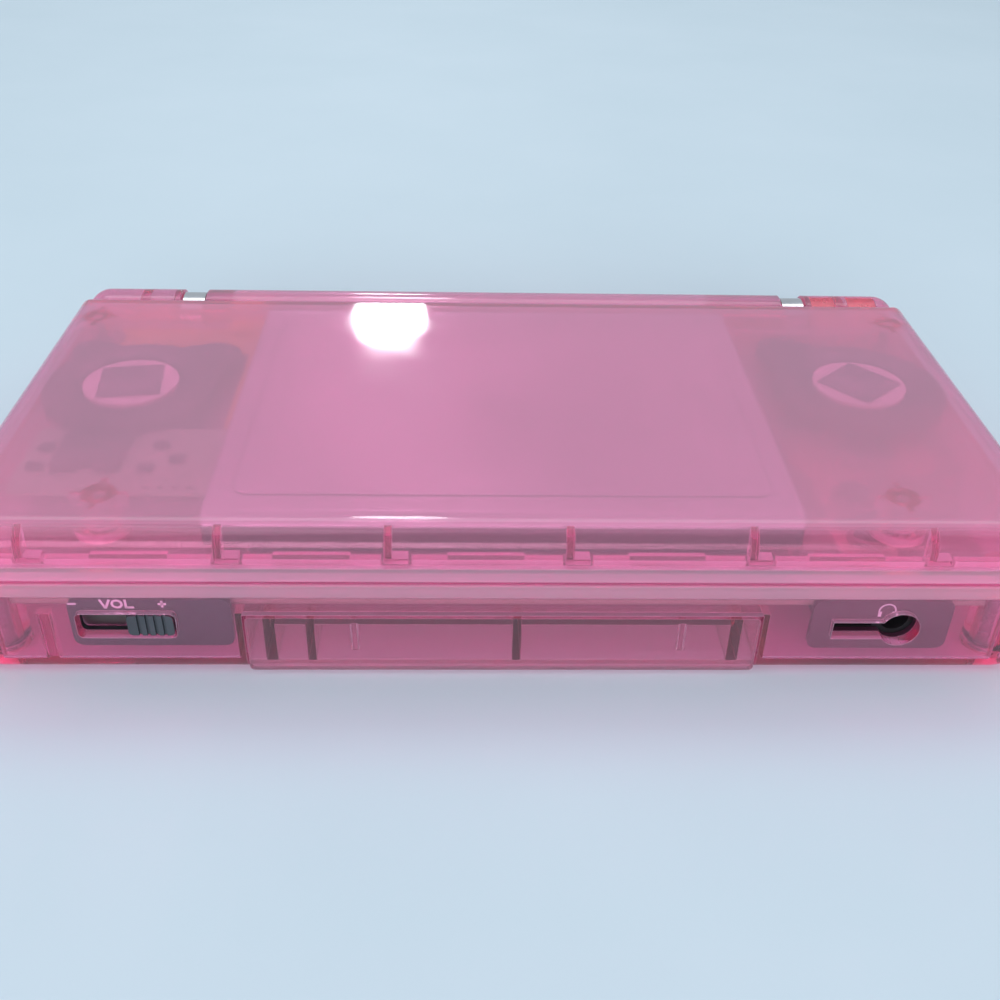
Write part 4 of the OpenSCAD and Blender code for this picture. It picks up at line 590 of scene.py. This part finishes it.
# %% Camera
CAMERA_AT = Vector((-4.6, -140.8, 96.7)) * MM
PITCH, YAW, ROLL = math.radians(34.13), math.radians(2.04), math.radians(-1.43)
FOCAL_PX, PHOTO_PX, SENSOR_MM = 1131.2, 1000, 36.0
NEAR_M, FAR_M = 0.01, 20

forward = Vector((math.sin(YAW) * math.cos(PITCH), math.cos(YAW) * math.cos(PITCH),
                  -math.sin(PITCH)))
level_right = Vector((math.cos(YAW), -math.sin(YAW), 0))
level_down = forward.cross(level_right)
right = level_right * math.cos(ROLL) + level_down * math.sin(ROLL)
down = -level_right * math.sin(ROLL) + level_down * math.cos(ROLL)
turn = Matrix((right, -down, -forward)).transposed().to_4x4()
camera_data = bpy.data.cameras.new("camera")
camera_data.sensor_width = SENSOR_MM
camera_data.lens = FOCAL_PX / PHOTO_PX * SENSOR_MM
camera_data.clip_start, camera_data.clip_end = NEAR_M, FAR_M
camera = bpy.data.objects.new("camera", camera_data)
camera.matrix_world = Matrix.Translation(CAMERA_AT) @ turn
bpy.context.scene.collection.objects.link(camera)
bpy.context.scene.camera = camera
print("lens in mm:", round(camera_data.lens, 2))


# %% [markdown]
# Large, weak lamps are what a photographer's soft boxes are: they fill the walls and the boards
# inside, at a level where colours come out as they are written. Blender's area lamp does just that,
# and its size decides how soft the shadows are. A sun or a point would leave hard ones.

# %% Area lamps
CENTRE = Vector((0, 0, 0))
NEUTRAL, COOL, WARM = "#FBFDFF", "#F6FAFF", "#FFF6F4"


def area_lamp(name, place, target, size, watts, colour=NEUTRAL, shape="RECTANGLE"):
    """A lamp of this width and height in metres at a place, turned to a target."""
    data = bpy.data.lights.new(name, "AREA")
    data.shape, data.energy = shape, watts
    data.size, data.size_y = size
    data.color = linear(colour)[:3]
    lamp = bpy.data.objects.new(name, data)
    lamp.rotation_mode = "QUATERNION"
    lamp.location = place
    lamp.rotation_quaternion = (target - place).to_track_quat("-Z", "Y")
    bpy.context.scene.collection.objects.link(lamp)
    print(name, "at", [round(v, 2) for v in lamp.location], "m gives", watts, "W")
    return lamp


# %% [markdown]
# Two small lamps leave bright spots. One is mirrored in the lid. The other is set by a point of the
# table in front, and leaves a thin glint along the lid's rounded front edge. They could be pushed
# about until the spots fall in place, but a mirror is simple: the view ray to a point is turned
# over at the level surface there, and the lamp stands on the turned ray.

# %% Mirrored lamps
MIRROR_REACH = 0.9


def mirrored_lamp(name, spot_x, spot_y, level, size, watts):
    """
    A lamp whose mirror image lies at a pixel of the photograph. The view ray r through it, from the
    camera c, meets the level z at c + r (z - c_z) / r_z and goes on as (r_x, r_y, -r_z).
    """
    ray = forward * FOCAL_PX + right * (spot_x - PHOTO_PX / 2) + down * (spot_y - PHOTO_PX / 2)
    ray.normalize()
    spot = CAMERA_AT + ray * ((level - CAMERA_AT.z) / ray.z)
    turned = Vector((ray.x, ray.y, -ray.z))
    area_lamp(name, spot + turned * MIRROR_REACH, spot, size, watts, COOL, "ELLIPSE")


# %% [markdown]
# Six lamps in all. The key stands high at the left and the warmer fill low at the right, so that
# forms keep a light and a shaded side. A low, wide one lights the front walls. Its light isn't
# mirrored, which keeps a hard line off the lid's rounding, and its beam is narrow, which spares the
# table round the console. The last one stands behind and draws the rear edge.

# %% Lamps
FRONT_BEAM_DEGREES = 70
lid_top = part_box("lid_cover")[1].z
mirrored_lamp("glint_lamp", spot_x=390, spot_y=318, level=lid_top, size=(0.07, 0.05), watts=0.35)
area_lamp("soft_key", place=Vector((-0.45, -0.35, 0.8)), target=CENTRE, size=(0.7, 0.7), watts=1.1)
area_lamp("soft_fill", place=Vector((0.7, -0.2, 0.5)), target=CENTRE, size=(0.7, 0.7), watts=0.7,
          colour=WARM)
mirrored_lamp("edge_lamp", spot_x=400, spot_y=790, level=0.0, size=(0.09, 0.15), watts=0.5)
front_fill = area_lamp("front_fill", place=Vector((-0.1, -0.85, 0.24)), target=CENTRE,
                       size=(1.1, 0.4), watts=1.75)
front_fill.visible_glossy = False
front_fill.data.spread = math.radians(FRONT_BEAM_DEGREES)
area_lamp("rim_lamp", place=Vector((0, 0.38, 0.7)), target=CENTRE, size=(0.9, 0.2), watts=1.1)

# %% [markdown]
# The sky is one pale colour all round, so it only lifts the shadows. Clear walls lie one behind the
# other, and a ray crosses dozens of faces before it leaves them, so it is given the bounces for
# that: with the usual dozen, the inside of the lid would turn black.

# %% Sky and bounces
SKY_STRENGTH = 0.64
BOUNCES, SEE_THROUGH_BOUNCES = 28, 40
scene = bpy.context.scene
world = bpy.data.worlds.new("sky")
world.use_nodes = True
sky = world.node_tree.nodes["Background"]
sky.inputs["Color"].default_value = linear("#DCE8F0")
sky.inputs["Strength"].default_value = SKY_STRENGTH
scene.world = world
scene.view_settings.view_transform = "Standard"
scene.cycles.max_bounces = BOUNCES
scene.cycles.transmission_bounces = BOUNCES
scene.cycles.transparent_max_bounces = SEE_THROUGH_BOUNCES
scene.cycles.caustics_refractive = True
scene.cycles.caustics_reflective = False
print("sky strength:", SKY_STRENGTH, "bounces:", BOUNCES)
